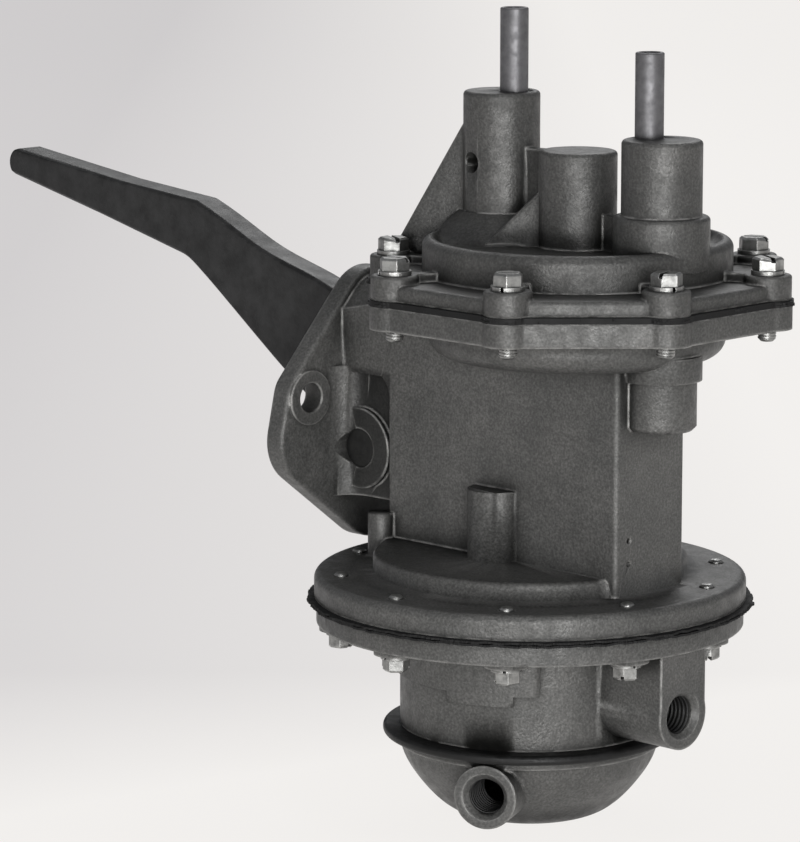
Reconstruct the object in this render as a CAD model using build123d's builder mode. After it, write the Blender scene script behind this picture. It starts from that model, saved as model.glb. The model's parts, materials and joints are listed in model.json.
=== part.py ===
from build123d import *
import os
from math import atan2, cos, degrees, radians, sin

os.makedirs("parts", exist_ok=True)

# Fits and clearances
run_fit = 0.05
seat_fit = 0.02
thread_fit = 0.05
free_gap = 0.3
side_gap = 0.4

# Stations of the two diaphragm axes and of the rocker pin, from the mounting face
fuel_x = 67.0
vac_x = 84.3
pin_x = 12.0
pin_z = -15.8

# Mounting flange
flange_t = 6.0
flange_edge_r = 1.2
bolt_spacing = 55.2
bolt_hole_r = 4.35
bolt_pad_r = 8.4
bolt_pad_rise = 0.8
lobe_y = 24.8
lobe_z = -12.3
lobe_r = 13.9
flange_top_z = 21.0
flange_top_r = 14.5
flange_foot_z = -29.0
flange_foot_r = 15.5
slot_half_w = 10.75
slot_top_z = 29.0

# Rocker housing
slab_half_w = 14.2
slab_end_x = 112.0
slab_corner_r = 1.4
slab_wall = 4.0
pocket_end_x = 25.2
pocket_top_z = 8.0
pocket_corner_r = 8.0
neck_half_w = 11.5
neck_foot_z = -30.0
neck_wall = 2.7
neck_floor = 3.0
neck_roof_z = 26.0
neck_cavity_end_x = 22.0
roof_front_z = 24.0
roof_end_x = 30.0
neck_fillet_r = 8.5
cavity_top_z = 13.0
cavity_half_w = 10.2
cavity_floor_t = 2.2
cavity_corner_r = 2.0
front_boss_r = 8.0
front_boss_h = 19.8
stub_r = 3.8
stub_x = 23.5
stub_y = -16.0
stub_h = 12.7
vent_r = 0.8
vent_y = -9.0
vent_low_z = -36.0
vent_high_z = -29.5
hang_boss_x = 115.2
hang_boss_r = 10.0
hang_collar_r = 11.4
hang_collar_z = 14.9
hang_boss_foot_z = 1.0

# Rocker pin and its plugs
pin_r = 4.75
pin_boss_r = 11.8
pin_boss_half_w = 13.4
plug_r = 5.7
plug_t = 1.7
plug_seat_depth = 2.3

# Fuel side of the casting
fuel_joint_z = -52.3
disc_r = 61.2
disc_t = 6.9
disc_edge_r = 2.2
drum_chamfer = 1.2
disc_step_r = 50.0
disc_step_h = 0.5
drum_r = 44.5
drum_rise = 5.6
drum_inner_r = 41.0
drum_ceiling_t = 4.2
fuel_screw_count = 10
fuel_screw_inset = 7.05
fuel_screw_start = 18.0

# Vacuum side of the casting
vac_joint_z = 35.4
vac_flange_t = 6.6
vac_flange_lug_r = 6.9
vac_flange_lug_proud = 1.2
lug_blend_r = 1.4
vac_bowl_r = 41.4
vac_bowl_depth = 10.2
vac_bowl_corner_r = 5.6
vac_bowl_wall = 3.2
vac_rod_hole_r = 9.0
lug_count = 8
lug_circle_r = 55.0
lug_start = 22.5

# Diaphragms
membrane_t = 1.6
membrane_lug_r = 7.2
membrane_proud = 1.7
fuel_neck_gap = 3.0
vac_neck_gap = 0.4
plate_t = 1.5
plate_r = 29.0
fuel_sag = 5.4
vac_sag = 7.0

# Vacuum cover
cover_flange_t = 4.3
cover_lug_r = 6.6
cover_lug_proud = 2.3
cover_lug_rise = 2.4
cover_edge_r = 1.3
cover_lug_edge_r = 0.8
cover_wall_r = 43.1
cover_wall_h = 10.0
cover_rim_round = 2.5
cover_rim_inner_r = 40.0
cover_recess = 2.7
cover_roof_t = 3.0
cover_chamber_r = 39.5
cover_rib_t = 3.6
left_boss_x = 55.4
left_boss_r = 10.8
left_boss_h = 41.3
hump_top_r = 12.0
hump_foot_r = 22.0
hump_h = 7.6
mid_boss_r = 10.9
mid_boss_h = 26.7
mid_boss_wall = 2.4
mid_boss_roof_t = 3.5
right_boss_x = 114.9
right_boss_r = 11.1
right_boss_h = 32.0
base_ring_r = 13.3
base_ring_h = 11.3
boss_edge_round = 1.2
gusset_foot_x = 28.0
gusset_foot_y = -15.0
gusset_top_drop = 8.1
gusset_t = 5.0
web_t = 3.4
low_web_h = 9.6
fin_t = 1.8
fin_angle = 224.0
fin_reach = 26.6
fin_top_h = 15.6
spot_hole_r = 3.0
spot_hole_depth = 5.0
spot_hole_z = 70.2
spot_hole_angle = -100.0

# Vacuum tubes
tube_r = 3.97
tube_bore_r = 3.0
tube_seat_depth = 13.0
tube_seat_r = 4.2
tube_back_y = 0.4
tube_edge = 0.5
left_tube_x = 59.7
left_tube_rise = 23.4
right_tube_x = 109.8
right_tube_rise = 23.3
passage_r = 2.7

# Valve body
valve_flange_t = 5.7
valve_neck_r = 36.8
valve_neck_h = 29.8
valve_neck_wall = 3.3
fuel_lug_r = 6.2
fuel_lug_drop = 1.3
chamber_mouth_r = 41.5
chamber_cone_h = 6.1
chamber_depth = 13.6
valve_deck_t = 3.0
cast_pad_rise = 1.4
cast_pad_h = 13.9
cast_pad_from = -124.0
cast_pad_to = -43.0
small_pad_h = 16.9
small_pad_from = -84.0
small_pad_to = -54.0
outlet_z = -78.1
outlet_half_w = 9.2
outlet_round_r = 9.6
outlet_face_x = 124.6
outlet_bore_r = 5.4
outlet_mouth_r = 6.85
outlet_plenum_floor = 4.0
post_r = 8.0
partition_t = 4.0

# Inlet bowl, its seal and its centre screw
bowl_seal_t = 2.9
bowl_seal_r = 41.65
bowl_seal_inner_r = 35.3
bowl_rim_r = 37.5
bowl_rim_h = 2.2
bowl_side_r = 36.8
bowl_depth = 22.9
bowl_foot_r = 17.0
bowl_wall = 3.0
inlet_angle = -65.0
inlet_z = -102.1
inlet_boss_r = 9.0
inlet_reach = 40.0
inlet_thread_len = 15.0
inlet_boss_wall = 2.6
inlet_bore_r = 5.1
inlet_mouth_r = 6.7
screen_r = 34.6
screen_t = 0.8
screen_ledge = 1.1
centre_screw_r = 3.97
centre_screw_hole_gap = 0.3
centre_head_af = 12.7
centre_head_h = 4.0
centre_recess_r = 9.5
centre_recess_depth = 5.6
centre_washer_t = 1.0
centre_washer_r = 9.0
centre_thread_len = 14.0

# Flange screws and lock washers
vac_screw_r = 2.4
vac_screw_head_af = 7.5
vac_screw_tip = 3.5
fuel_screw_r = 2.1
fuel_screw_head_af = 6.6
fuel_screw_tip = 1.0
screw_tip_chamfer = 0.7
screw_head_h = 3.6
screw_slot_w = 1.2
screw_slot_depth = 1.3
screw_hole_gap = 0.3
washer_width = 2.2
washer_t = 1.2
washer_split = 0.9

# Check valves
cage_r = 8.0
cage_h = 6.5
cage_wall = 1.0
seat_t = 1.5
seat_hole_r = 4.5
spider_t = 1.0
spider_hole_r = 1.6
spider_hole_circle_r = 4.7
spider_hole_count = 4
valve_disc_r = 6.1
valve_disc_t = 1.0
valve_disc_gap = 0.2
valve_spring_r = 2.4
valve_wire_r = 0.25
valve_spring_turns = 3.0
valve_offset = 17.0

# Pull rods, nuts and springs
rod_screw_r = 2.5
rod_nut_af = 9.0
rod_nut_h = 3.0
fuel_rod_r = 3.0
fuel_rod_shoulder_r = 5.5
rod_shoulder_h = 1.5
fuel_head_l = 10.0
fuel_head_h = 2.8
vac_rod_r = 3.5
vac_rod_shoulder_r = 5.5
fuel_spring_r = 23.0
fuel_spring_wire_r = 1.2
fuel_spring_turns = 3.0
fuel_spring_cone = 25.0
vac_spring_wire_r = 1.0
vac_spring_turns = 8.0
seal_r = 6.5
seal_h = 4.3
seal_lip_gap = 0.1
retainer_r = 9.5
retainer_t = 0.9

# Rocker arm and links
arm_half_t = 4.8
arm_edge = 0.8
arm_hub_r = 9.5
arm_tip_x = -149.6
arm_tip_low_z = 49.7
arm_tip_nose = 1.9
arm_tip_mid_z = 53.5
arm_tip_top_x = -147.4
arm_tip_top_z = 57.9
arm_ramp_x = -99.8
arm_ramp_z = 51.7
arm_knee_x = -66.0
arm_knee_z = 48.6
arm_belly_x = -73.0
arm_belly_z = 32.1
arm_toe_x = -109.2
arm_toe_z = 40.7
link_t = 1.5
link_hub_r = 9.0
fuel_link_end_r = 3.5
fuel_link_end_z = -19.5
fuel_link_pad_z = -16.0
fuel_link_overhang = 5.0
vac_link_end_r = 3.5
vac_link_pad_z = -10.0
vac_link_pad_l = 11.0
vac_link_overhang = 3.0
link_web_t = 2.0
nose_z = -14.0
nose_top_z = -10.7
nose_x = 35.0
nose_tip_x = 41.0
nose_end_x = 46.0
spring_seat_x = 28.0
spring_seat_z = -5.0
spring_seat_half_l = 5.5
arm_spring_r = 4.0
arm_spring_wire_r = 0.6
arm_spring_turns = 6.0
spring_pip_r = 2.6
spring_pip_h = 2.0

# Levels worked out from the sizes above
fuel_screw_circle_r = disc_r - fuel_screw_inset
fuel_membrane_r = disc_r + membrane_proud
fuel_neck_r = drum_inner_r - fuel_neck_gap
vac_neck_r = vac_bowl_r - vac_bowl_wall - vac_neck_gap
disc_top_z = fuel_joint_z + disc_t
drum_top_z = disc_top_z + drum_rise
drum_ceiling_z = drum_top_z - drum_ceiling_t
cavity_floor_z = drum_top_z + cavity_floor_t
valve_top_z = fuel_joint_z - membrane_t
valve_flange_z = valve_top_z - valve_flange_t
valve_foot_z = valve_flange_z - valve_neck_h
chamber_floor_z = valve_top_z - chamber_depth
deck_under_z = chamber_floor_z - valve_deck_t
bowl_top_z = valve_foot_z - bowl_seal_t
bowl_foot_z = bowl_top_z - bowl_depth
fuel_plate_z = valve_top_z - fuel_sag
vac_flange_z = vac_joint_z - vac_flange_t
vac_bowl_z = vac_flange_z - vac_bowl_depth
vac_bowl_floor_z = vac_bowl_z + vac_bowl_wall
vac_plate_z = vac_joint_z - vac_sag
cover_z = vac_joint_z + membrane_t
cover_flange_top_z = cover_z + cover_flange_t
lug_top_z = cover_flange_top_z + cover_lug_rise
cover_rim_z = cover_flange_top_z + cover_wall_h
cover_floor_z = cover_rim_z - cover_recess
cover_ceiling_z = cover_floor_z - cover_roof_t
left_boss_top_z = cover_floor_z + left_boss_h
mid_boss_top_z = cover_floor_z + mid_boss_h
right_boss_top_z = cover_floor_z + right_boss_h
bolt_y = bolt_spacing / 2
slot_foot_z = neck_foot_z + neck_floor
neck_cavity_half_w = neck_half_w - neck_wall
cavity_start_x = pocket_end_x + neck_wall
cavity_end_x = slab_end_x - slab_wall
neck_cavity_back_x = cavity_start_x + 2 * cavity_corner_r

fuel_axis = Axis((fuel_x, 0, 0), (0, 0, 1))
vac_axis = Axis((vac_x, 0, 0), (0, 0, 1))
fuel_section = Plane(origin=(fuel_x, 0, 0), x_dir=(1, 0, 0), z_dir=(0, -1, 0))
vac_section = Plane(origin=(vac_x, 0, 0), x_dir=(1, 0, 0), z_dir=(0, -1, 0))


def level(x, z):
    """Return a level plane whose origin is on the pump's centre plane."""
    return Plane(origin=(x, 0, z))


def polar(radius, angle):
    """Return the point at a radius and an angle in degrees."""
    return (radius * cos(radians(angle)), radius * sin(radians(angle)))


def upright(x):
    """Return the vertical section plane of a boss on the centre plane."""
    return Plane(origin=(x, 0, 0), x_dir=(1, 0, 0), z_dir=(0, -1, 0))


def radial(x, angle):
    """Return a vertical plane whose own x runs outwards at an angle."""
    return Plane(
        origin=(x, 0, 0),
        x_dir=(cos(radians(angle)), sin(radians(angle)), 0),
        z_dir=(sin(radians(angle)), -cos(radians(angle)), 0),
    )


def flange_outline(inset):
    """Return the mounting flange outline, drawn in by an inset."""
    with BuildSketch() as outline:
        with Locations((-lobe_y, lobe_z), (lobe_y, lobe_z)):
            Circle(lobe_r - inset)
        with Locations((-bolt_y, 0), (bolt_y, 0)):
            Circle(bolt_pad_r - inset)
        with Locations((0, flange_top_z)):
            Circle(flange_top_r - inset)
        with Locations((0, flange_foot_z)):
            Circle(flange_foot_r - inset)
        make_hull()
    return outline.sketch


def lug_outline(lug_r, proud):
    """Return the vacuum flange outline, whose lugs stand proud of the straight edges."""
    with BuildSketch() as outline:
        with PolarLocations(lug_circle_r, lug_count, start_angle=lug_start):
            Circle(lug_r - proud)
        make_hull()
        with PolarLocations(lug_circle_r, lug_count, start_angle=lug_start):
            Circle(lug_r)
        fillet(outline.vertices(), lug_blend_r)
    return outline.sketch


def ring_of(radius, count, start, hole_r):
    """Return a ring of circles for screw holes or shanks."""
    with BuildSketch() as ring:
        with PolarLocations(radius, count, start_angle=start):
            Circle(hole_r)
    return ring.sketch


def sector(radius, start, end):
    """Return a pie-shaped face between two angles, which must be less than 180 apart."""
    middle = (start + end) / 2
    with BuildSketch() as pie:
        with BuildLine():
            Line((0, 0), polar(radius, start))
            ThreePointArc(polar(radius, start), polar(radius, middle), polar(radius, end))
            Line(polar(radius, end), (0, 0))
        make_face()
    return pie.sketch


def coil(x, z, height, radius, wire_r, turns, cone=0.0):
    """Return a coil spring of round wire that stands between two levels."""
    span = height - 2 * wire_r
    with BuildPart() as spring:
        with BuildLine():
            path = Helix(span / turns, span, radius, center=(x, 0, z + wire_r), cone_angle=cone)
        with BuildSketch(Plane(origin=path @ 0, z_dir=path % 0)):
            Circle(wire_r)
        sweep()
    return spring.part


# Plate of the mounting flange, with a rounded edge towards the pump
with BuildPart() as flange_plate:
    with BuildSketch(Plane.YZ):
        add(flange_outline(0.0))
    extrude(amount=flange_t)
    fillet(edges().group_by(Axis.X)[-1], flange_edge_r)

# Main casting: flange, rocker housing, fuel disc and vacuum bowl
with BuildPart() as main_body:
    # Rocker housing, notched at the pockets beside the rocker pin
    arc_x = pocket_end_x - pocket_corner_r
    arc_z = pocket_top_z - pocket_corner_r
    with BuildSketch(Plane.XZ):
        with BuildLine():
            Polyline(
                (pocket_end_x, arc_z),
                (pocket_end_x, disc_top_z - disc_step_h),
                (slab_end_x, disc_top_z - disc_step_h),
                (slab_end_x, vac_flange_z + disc_step_h),
                (roof_end_x, vac_flange_z + disc_step_h),
                (flange_t / 2, roof_front_z),
                (flange_t / 2, pocket_top_z),
                (arc_x, pocket_top_z),
            )
            ThreePointArc(
                (arc_x, pocket_top_z),
                (arc_x + pocket_corner_r * cos(radians(45)), arc_z + pocket_corner_r * sin(radians(45))),
                (pocket_end_x, arc_z),
            )
        make_face()
    extrude(amount=slab_half_w, both=True)
    fillet(edges().filter_by(Axis.Z).sort_by(Axis.X)[-2:], slab_corner_r)
    # Neck between the pockets
    with BuildSketch(Plane.XZ.offset(-neck_half_w)):
        with Locations(((flange_t / 2 + roof_end_x) / 2, (neck_foot_z + roof_front_z) / 2)):
            Rectangle(roof_end_x - flange_t / 2, roof_front_z - neck_foot_z)
    extrude(amount=2 * neck_half_w)
    # Ridge of the neck, which carries the flange outline back to the vacuum flange
    with BuildSketch(Plane.YZ.offset(flange_t / 2)):
        add(flange_outline(2.0))
        with Locations((0, flange_top_z)):
            Rectangle(2 * slab_half_w, 2 * flange_top_r, mode=Mode.INTERSECT)
    extrude(amount=roof_end_x - flange_t / 2)
    # Mounting flange with a raised pad round each bolt hole
    add(flange_plate.part)
    with BuildSketch(Plane.YZ.offset(flange_t)):
        with Locations((-bolt_y, 0), (bolt_y, 0)):
            Circle(bolt_pad_r - 0.5)
    extrude(amount=bolt_pad_rise)
    # Soft corner between the flange and each side of the neck
    with BuildSketch(Plane.XY.offset(neck_foot_z)) as soft_corner:
        with Locations((flange_t + neck_fillet_r / 2, neck_half_w + neck_fillet_r / 2)):
            Rectangle(neck_fillet_r, neck_fillet_r)
        with Locations((flange_t + neck_fillet_r, neck_half_w + neck_fillet_r)):
            Circle(neck_fillet_r, mode=Mode.SUBTRACT)
        mirror(about=Plane.XZ)
    extrude(amount=pocket_top_z - neck_foot_z)
    # Rocker pin bosses
    with BuildSketch(Plane.XZ):
        with Locations((pin_x, pin_z)):
            Circle(pin_boss_r)
    extrude(amount=pin_boss_half_w, both=True)
    # Fuel disc, its raised step and the drum
    with BuildSketch(fuel_section):
        with BuildLine():
            edge_bend = disc_edge_r * (1 - cos(radians(45)))
            Polyline((0, fuel_joint_z), (disc_r, fuel_joint_z), (disc_r, disc_top_z - disc_edge_r))
            ThreePointArc(
                (disc_r, disc_top_z - disc_edge_r),
                (disc_r - edge_bend, disc_top_z - edge_bend),
                (disc_r - disc_edge_r, disc_top_z),
            )
            Polyline(
                (disc_r - disc_edge_r, disc_top_z),
                (disc_step_r + disc_step_h, disc_top_z),
                (disc_step_r, disc_top_z + disc_step_h),
                (drum_r, disc_top_z + disc_step_h),
                (drum_r, drum_top_z - drum_chamfer),
                (drum_r - drum_chamfer, drum_top_z),
                (0, drum_top_z),
                (0, fuel_joint_z),
            )
        make_face()
    revolve(axis=fuel_axis)
    # Vacuum bowl and its flange
    with BuildSketch(vac_section):
        with BuildLine():
            corner_r = vac_bowl_corner_r
            Line((0, vac_bowl_z), (vac_bowl_r - corner_r, vac_bowl_z))
            ThreePointArc(
                (vac_bowl_r - corner_r, vac_bowl_z),
                (
                    vac_bowl_r - corner_r + corner_r * sin(radians(45)),
                    vac_bowl_z + corner_r - corner_r * cos(radians(45)),
                ),
                (vac_bowl_r, vac_bowl_z + corner_r),
            )
            Polyline(
                (vac_bowl_r, vac_bowl_z + corner_r),
                (vac_bowl_r, vac_joint_z),
                (0, vac_joint_z),
                (0, vac_bowl_z),
            )
        make_face()
    revolve(axis=vac_axis)
    with BuildSketch(level(vac_x, vac_flange_z)):
        add(lug_outline(vac_flange_lug_r, vac_flange_lug_proud))
    extrude(amount=vac_flange_t)
    # Half-round boss on the front wall, the small stub and the hanging boss
    with BuildSketch(Plane.XY.offset(drum_top_z - disc_step_h)):
        with Locations((fuel_x, -slab_half_w)):
            Circle(front_boss_r)
    extrude(amount=front_boss_h + disc_step_h)
    with BuildSketch(Plane.XY.offset(disc_top_z - disc_step_h)):
        with Locations((stub_x, stub_y)):
            Circle(stub_r)
    extrude(amount=stub_h + disc_step_h)
    with BuildSketch(upright(hang_boss_x)):
        with BuildLine():
            Polyline(
                (0, hang_boss_foot_z),
                (hang_boss_r - boss_edge_round, hang_boss_foot_z),
                (hang_boss_r, hang_boss_foot_z + boss_edge_round),
                (hang_boss_r, hang_collar_z),
                (hang_collar_r, hang_collar_z),
                (hang_collar_r, vac_bowl_floor_z),
                (0, vac_bowl_floor_z),
                close=True,
            )
        make_face()
    revolve(axis=Axis((hang_boss_x, 0, 0), (0, 0, 1)))
    # Arm slot and the hollow of the neck
    with BuildSketch(Plane.YZ):
        with Locations((0, (slot_top_z + slot_foot_z) / 2)):
            SlotOverall(slot_top_z - slot_foot_z, 2 * slot_half_w, rotation=90)
    extrude(amount=flange_t, mode=Mode.SUBTRACT)
    with BuildSketch(Plane.XZ):
        with BuildLine():
            Polyline(
                (flange_t - 1.0, neck_foot_z + neck_floor),
                (neck_cavity_back_x, neck_foot_z + neck_floor),
                (neck_cavity_back_x, cavity_top_z),
                (neck_cavity_end_x, cavity_top_z),
                (neck_cavity_end_x, neck_roof_z),
                (flange_t - 1.0, neck_roof_z),
                close=True,
            )
        make_face()
    extrude(amount=neck_cavity_half_w, both=True, mode=Mode.SUBTRACT)
    # Hollow of the rocker housing, with a pip that centres the arm spring
    with BuildSketch(Plane.XZ):
        with Locations(((cavity_start_x + cavity_end_x) / 2, (cavity_floor_z + cavity_top_z) / 2)):
            RectangleRounded(cavity_end_x - cavity_start_x, cavity_top_z - cavity_floor_z, cavity_corner_r)
    extrude(amount=cavity_half_w, both=True, mode=Mode.SUBTRACT)
    with BuildSketch(level(spring_seat_x, cavity_top_z - spring_pip_h)):
        Circle(spring_pip_r)
    extrude(amount=spring_pip_h + 1.0)
    # Inside of the vacuum bowl and the way through for its rod
    with BuildSketch(vac_section):
        with BuildLine():
            inner_r = vac_bowl_r - vac_bowl_wall
            corner_r = vac_bowl_corner_r
            Line((0, vac_bowl_floor_z), (inner_r - corner_r, vac_bowl_floor_z))
            ThreePointArc(
                (inner_r - corner_r, vac_bowl_floor_z),
                (
                    inner_r - corner_r + corner_r * sin(radians(45)),
                    vac_bowl_floor_z + corner_r - corner_r * cos(radians(45)),
                ),
                (inner_r, vac_bowl_floor_z + corner_r),
            )
            Polyline(
                (inner_r, vac_bowl_floor_z + corner_r),
                (inner_r, vac_joint_z),
                (0, vac_joint_z),
                (0, vac_bowl_floor_z),
            )
        make_face()
    revolve(axis=vac_axis, mode=Mode.SUBTRACT)
    with BuildSketch(level(vac_x, cavity_top_z)):
        Circle(vac_rod_hole_r)
    extrude(amount=vac_bowl_floor_z - cavity_top_z, mode=Mode.SUBTRACT)
    # Inside of the drum, the seal seat and the way through for the fuel rod
    with BuildSketch(level(fuel_x, fuel_joint_z)):
        Circle(drum_inner_r)
    extrude(amount=drum_ceiling_z - fuel_joint_z, mode=Mode.SUBTRACT)
    with BuildSketch(level(fuel_x, drum_ceiling_z)):
        Circle(seal_r)
    extrude(amount=seal_h, mode=Mode.SUBTRACT)
    with BuildSketch(level(fuel_x, drum_ceiling_z)):
        Circle(fuel_rod_r + 1.0)
    extrude(amount=cavity_floor_z - drum_ceiling_z, mode=Mode.SUBTRACT)
    # Rocker pin bore with a plug seat at each end
    with BuildSketch(Plane.XZ):
        with Locations((pin_x, pin_z)):
            Circle(pin_r + seat_fit)
    extrude(amount=pin_boss_half_w, both=True, mode=Mode.SUBTRACT)
    for side in (-1, 1):
        with BuildSketch(Plane.XZ.offset(side * (pin_boss_half_w - plug_seat_depth))):
            with Locations((pin_x, pin_z)):
                Circle(plug_r + seat_fit)
        extrude(amount=side * (plug_seat_depth + neck_fillet_r), mode=Mode.SUBTRACT)
    # Bolt holes, tapped screw holes and vents
    with BuildSketch(Plane.YZ):
        with Locations((-bolt_y, 0), (bolt_y, 0)):
            Circle(bolt_hole_r)
    extrude(amount=flange_t + bolt_pad_rise, mode=Mode.SUBTRACT)
    with BuildSketch(level(fuel_x, fuel_joint_z)):
        add(ring_of(fuel_screw_circle_r, fuel_screw_count, fuel_screw_start, fuel_screw_r + thread_fit))
    extrude(amount=disc_t, mode=Mode.SUBTRACT)
    with BuildSketch(level(vac_x, vac_flange_z)):
        add(ring_of(lug_circle_r, lug_count, lug_start, vac_screw_r + thread_fit))
    extrude(amount=vac_flange_t, mode=Mode.SUBTRACT)
    with BuildSketch(Plane.YZ.offset(cavity_end_x)):
        with Locations((vent_y, vent_low_z), (vent_y, vent_high_z)):
            Circle(vent_r)
    extrude(amount=slab_wall, mode=Mode.SUBTRACT)
main_body.part.label = "main_body"
export_step(main_body.part, "parts/main_body.step")

# Rocker pin and the two plugs that close its bore
with BuildPart() as rocker_pin:
    with BuildSketch(Plane.XZ):
        with Locations((pin_x, pin_z)):
            Circle(pin_r)
    extrude(amount=pin_boss_half_w - plug_seat_depth - seat_fit, both=True)
    chamfer(edges().filter_by(GeomType.CIRCLE), 0.6)
rocker_pin.part.label = "rocker_pin"
export_step(rocker_pin.part, "parts/rocker_pin.step")

with BuildPart() as rocker_pin_plugs:
    for side in (-1, 1):
        with BuildSketch(Plane.XZ.offset(side * (pin_boss_half_w - plug_seat_depth + seat_fit))):
            with Locations((pin_x, pin_z)):
                Circle(plug_r)
        extrude(amount=side * plug_t)
rocker_pin_plugs.part.label = "rocker_pin_plugs"
export_step(rocker_pin_plugs.part, "parts/rocker_pin_plugs.step")

# Forged rocker arm, swung down by the cam at its outer end
with BuildPart() as rocker_arm:
    with BuildSketch(Plane.XZ) as arm_outline:
        with BuildLine():
            tip_low = (arm_tip_x, arm_tip_low_z)
            tip_side = (arm_tip_x - arm_tip_nose, arm_tip_mid_z)
            tip_top = (arm_tip_top_x, arm_tip_top_z)
            knee = (arm_knee_x, arm_knee_z)
            belly = (arm_belly_x, arm_belly_z)
            ThreePointArc(tip_low, tip_side, tip_top)
            Polyline(tip_top, (arm_ramp_x, arm_ramp_z), knee)
            shoulder = Spline(
                knee,
                (0.80 * arm_knee_x, 0.89 * arm_knee_z),
                (0.58 * arm_knee_x, 0.76 * arm_knee_z),
                (0.16 * arm_knee_x, 0.59 * arm_knee_z),
                (-0.03 * arm_knee_x, 0.46 * arm_knee_z),
            )
            Polyline(
                shoulder @ 1,
                (spring_seat_x - spring_seat_half_l - 2.5, spring_seat_z + 5.0),
                (spring_seat_x - spring_seat_half_l, spring_seat_z),
                (spring_seat_x + spring_seat_half_l, spring_seat_z),
                (nose_x, nose_z),
                (nose_tip_x - 0.5, nose_z),
                (nose_tip_x, nose_top_z),
                (nose_end_x, nose_top_z),
                (nose_end_x, nose_z - 3.5),
                (pin_x + arm_hub_r * sin(radians(35)), pin_z - arm_hub_r * cos(radians(35))),
            )
            ThreePointArc(
                (pin_x + arm_hub_r * sin(radians(35)), pin_z - arm_hub_r * cos(radians(35))),
                (pin_x, pin_z - arm_hub_r),
                (pin_x - arm_hub_r * sin(radians(35)), pin_z - arm_hub_r * cos(radians(35))),
            )
            Spline(
                (pin_x - arm_hub_r * sin(radians(35)), pin_z - arm_hub_r * cos(radians(35))),
                (0.04 * arm_belly_x, -0.51 * arm_belly_z),
                (0.38 * arm_belly_x, 0.03 * arm_belly_z),
                (0.73 * arm_belly_x, 0.61 * arm_belly_z),
                (0.91 * arm_belly_x, 0.90 * arm_belly_z),
                belly,
                tangents=(
                    (-cos(radians(35)), sin(radians(35))),
                    (arm_toe_x - arm_belly_x, arm_toe_z - arm_belly_z),
                ),
            )
            Polyline(belly, (arm_toe_x, arm_toe_z), tip_low)
        make_face()
        with Locations((pin_x, pin_z)):
            Circle(pin_r + run_fit, mode=Mode.SUBTRACT)
    extrude(amount=arm_half_t, both=True)
    rim_edges = edges().filter_by(Plane.XZ)
    bore_edges = rim_edges.filter_by(GeomType.CIRCLE).filter_by(lambda edge: abs(edge.radius - pin_r) < 1.0)
    chamfer(rim_edges.filter_by(lambda edge: edge not in bore_edges), arm_edge)
rocker_arm.part.label = "rocker_arm"
export_step(rocker_arm.part, "parts/rocker_arm.step")

# Links that ride on the rocker pin on both sides of the arm
fuel_cheek_in = arm_half_t + side_gap
fuel_cheek_out = fuel_cheek_in + link_t
vac_cheek_in = fuel_cheek_out + free_gap
vac_cheek_out = vac_cheek_in + link_t

with BuildPart() as fuel_link:
    with BuildSketch(Plane.XZ) as fuel_cheek:
        with Locations((pin_x, pin_z)):
            Circle(link_hub_r)
        with Locations((fuel_x + fuel_link_overhang, fuel_link_end_z)):
            Circle(fuel_link_end_r)
        make_hull()
        with Locations((fuel_x + fuel_link_overhang, fuel_link_pad_z + link_hub_r / 2)):
            Rectangle(4 * fuel_link_overhang, link_hub_r, mode=Mode.SUBTRACT)
        with Locations((pin_x, pin_z)):
            Circle(pin_r + run_fit, mode=Mode.SUBTRACT)
    extrude(amount=fuel_cheek_out, both=True)
    with BuildSketch(Plane.XZ):
        Rectangle(8 * fuel_x, 8 * link_hub_r)
    extrude(amount=fuel_cheek_in, both=True, mode=Mode.SUBTRACT)
    with BuildSketch(Plane.XZ):
        with Locations(((nose_x + nose_tip_x - 1.5) / 2 + 0.5, nose_z + free_gap + link_web_t / 2)):
            Rectangle(nose_tip_x - nose_x - 2.5, link_web_t)
    extrude(amount=fuel_cheek_in, both=True)
fuel_link.part.label = "fuel_link"
export_step(fuel_link.part, "parts/fuel_link.step")

with BuildPart() as vacuum_link:
    with BuildSketch(Plane.XZ) as vac_cheek:
        with Locations((pin_x, pin_z)):
            Circle(link_hub_r)
        with Locations((vac_x + vac_link_overhang, vac_link_pad_z - vac_link_end_r)):
            Circle(vac_link_end_r)
        make_hull()
        with Locations((pin_x, pin_z)):
            Circle(pin_r + run_fit, mode=Mode.SUBTRACT)
    extrude(amount=vac_cheek_out, both=True)
    with BuildSketch(Plane.XZ):
        Rectangle(8 * vac_x, 8 * link_hub_r)
    extrude(amount=vac_cheek_in, both=True, mode=Mode.SUBTRACT)
    with BuildSketch(Plane.XZ):
        with Locations((vac_x, vac_link_pad_z - link_web_t / 2)):
            Rectangle(vac_link_pad_l, link_web_t)
        with Locations(((nose_tip_x + nose_end_x) / 2 + 0.5, nose_top_z + free_gap + link_web_t / 2)):
            Rectangle(nose_end_x - nose_tip_x, link_web_t)
    extrude(amount=vac_cheek_in, both=True)
vacuum_link.part.label = "vacuum_link"
export_step(vacuum_link.part, "parts/vacuum_link.step")

# Return spring of the arm, under the roof of the rocker housing
arm_spring_part = coil(
    spring_seat_x,
    spring_seat_z + seat_fit,
    cavity_top_z - spring_seat_z - 2 * seat_fit,
    arm_spring_r,
    arm_spring_wire_r,
    arm_spring_turns,
)
arm_spring_part.label = "rocker_arm_spring"
export_step(arm_spring_part, "parts/rocker_arm_spring.step")

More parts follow.
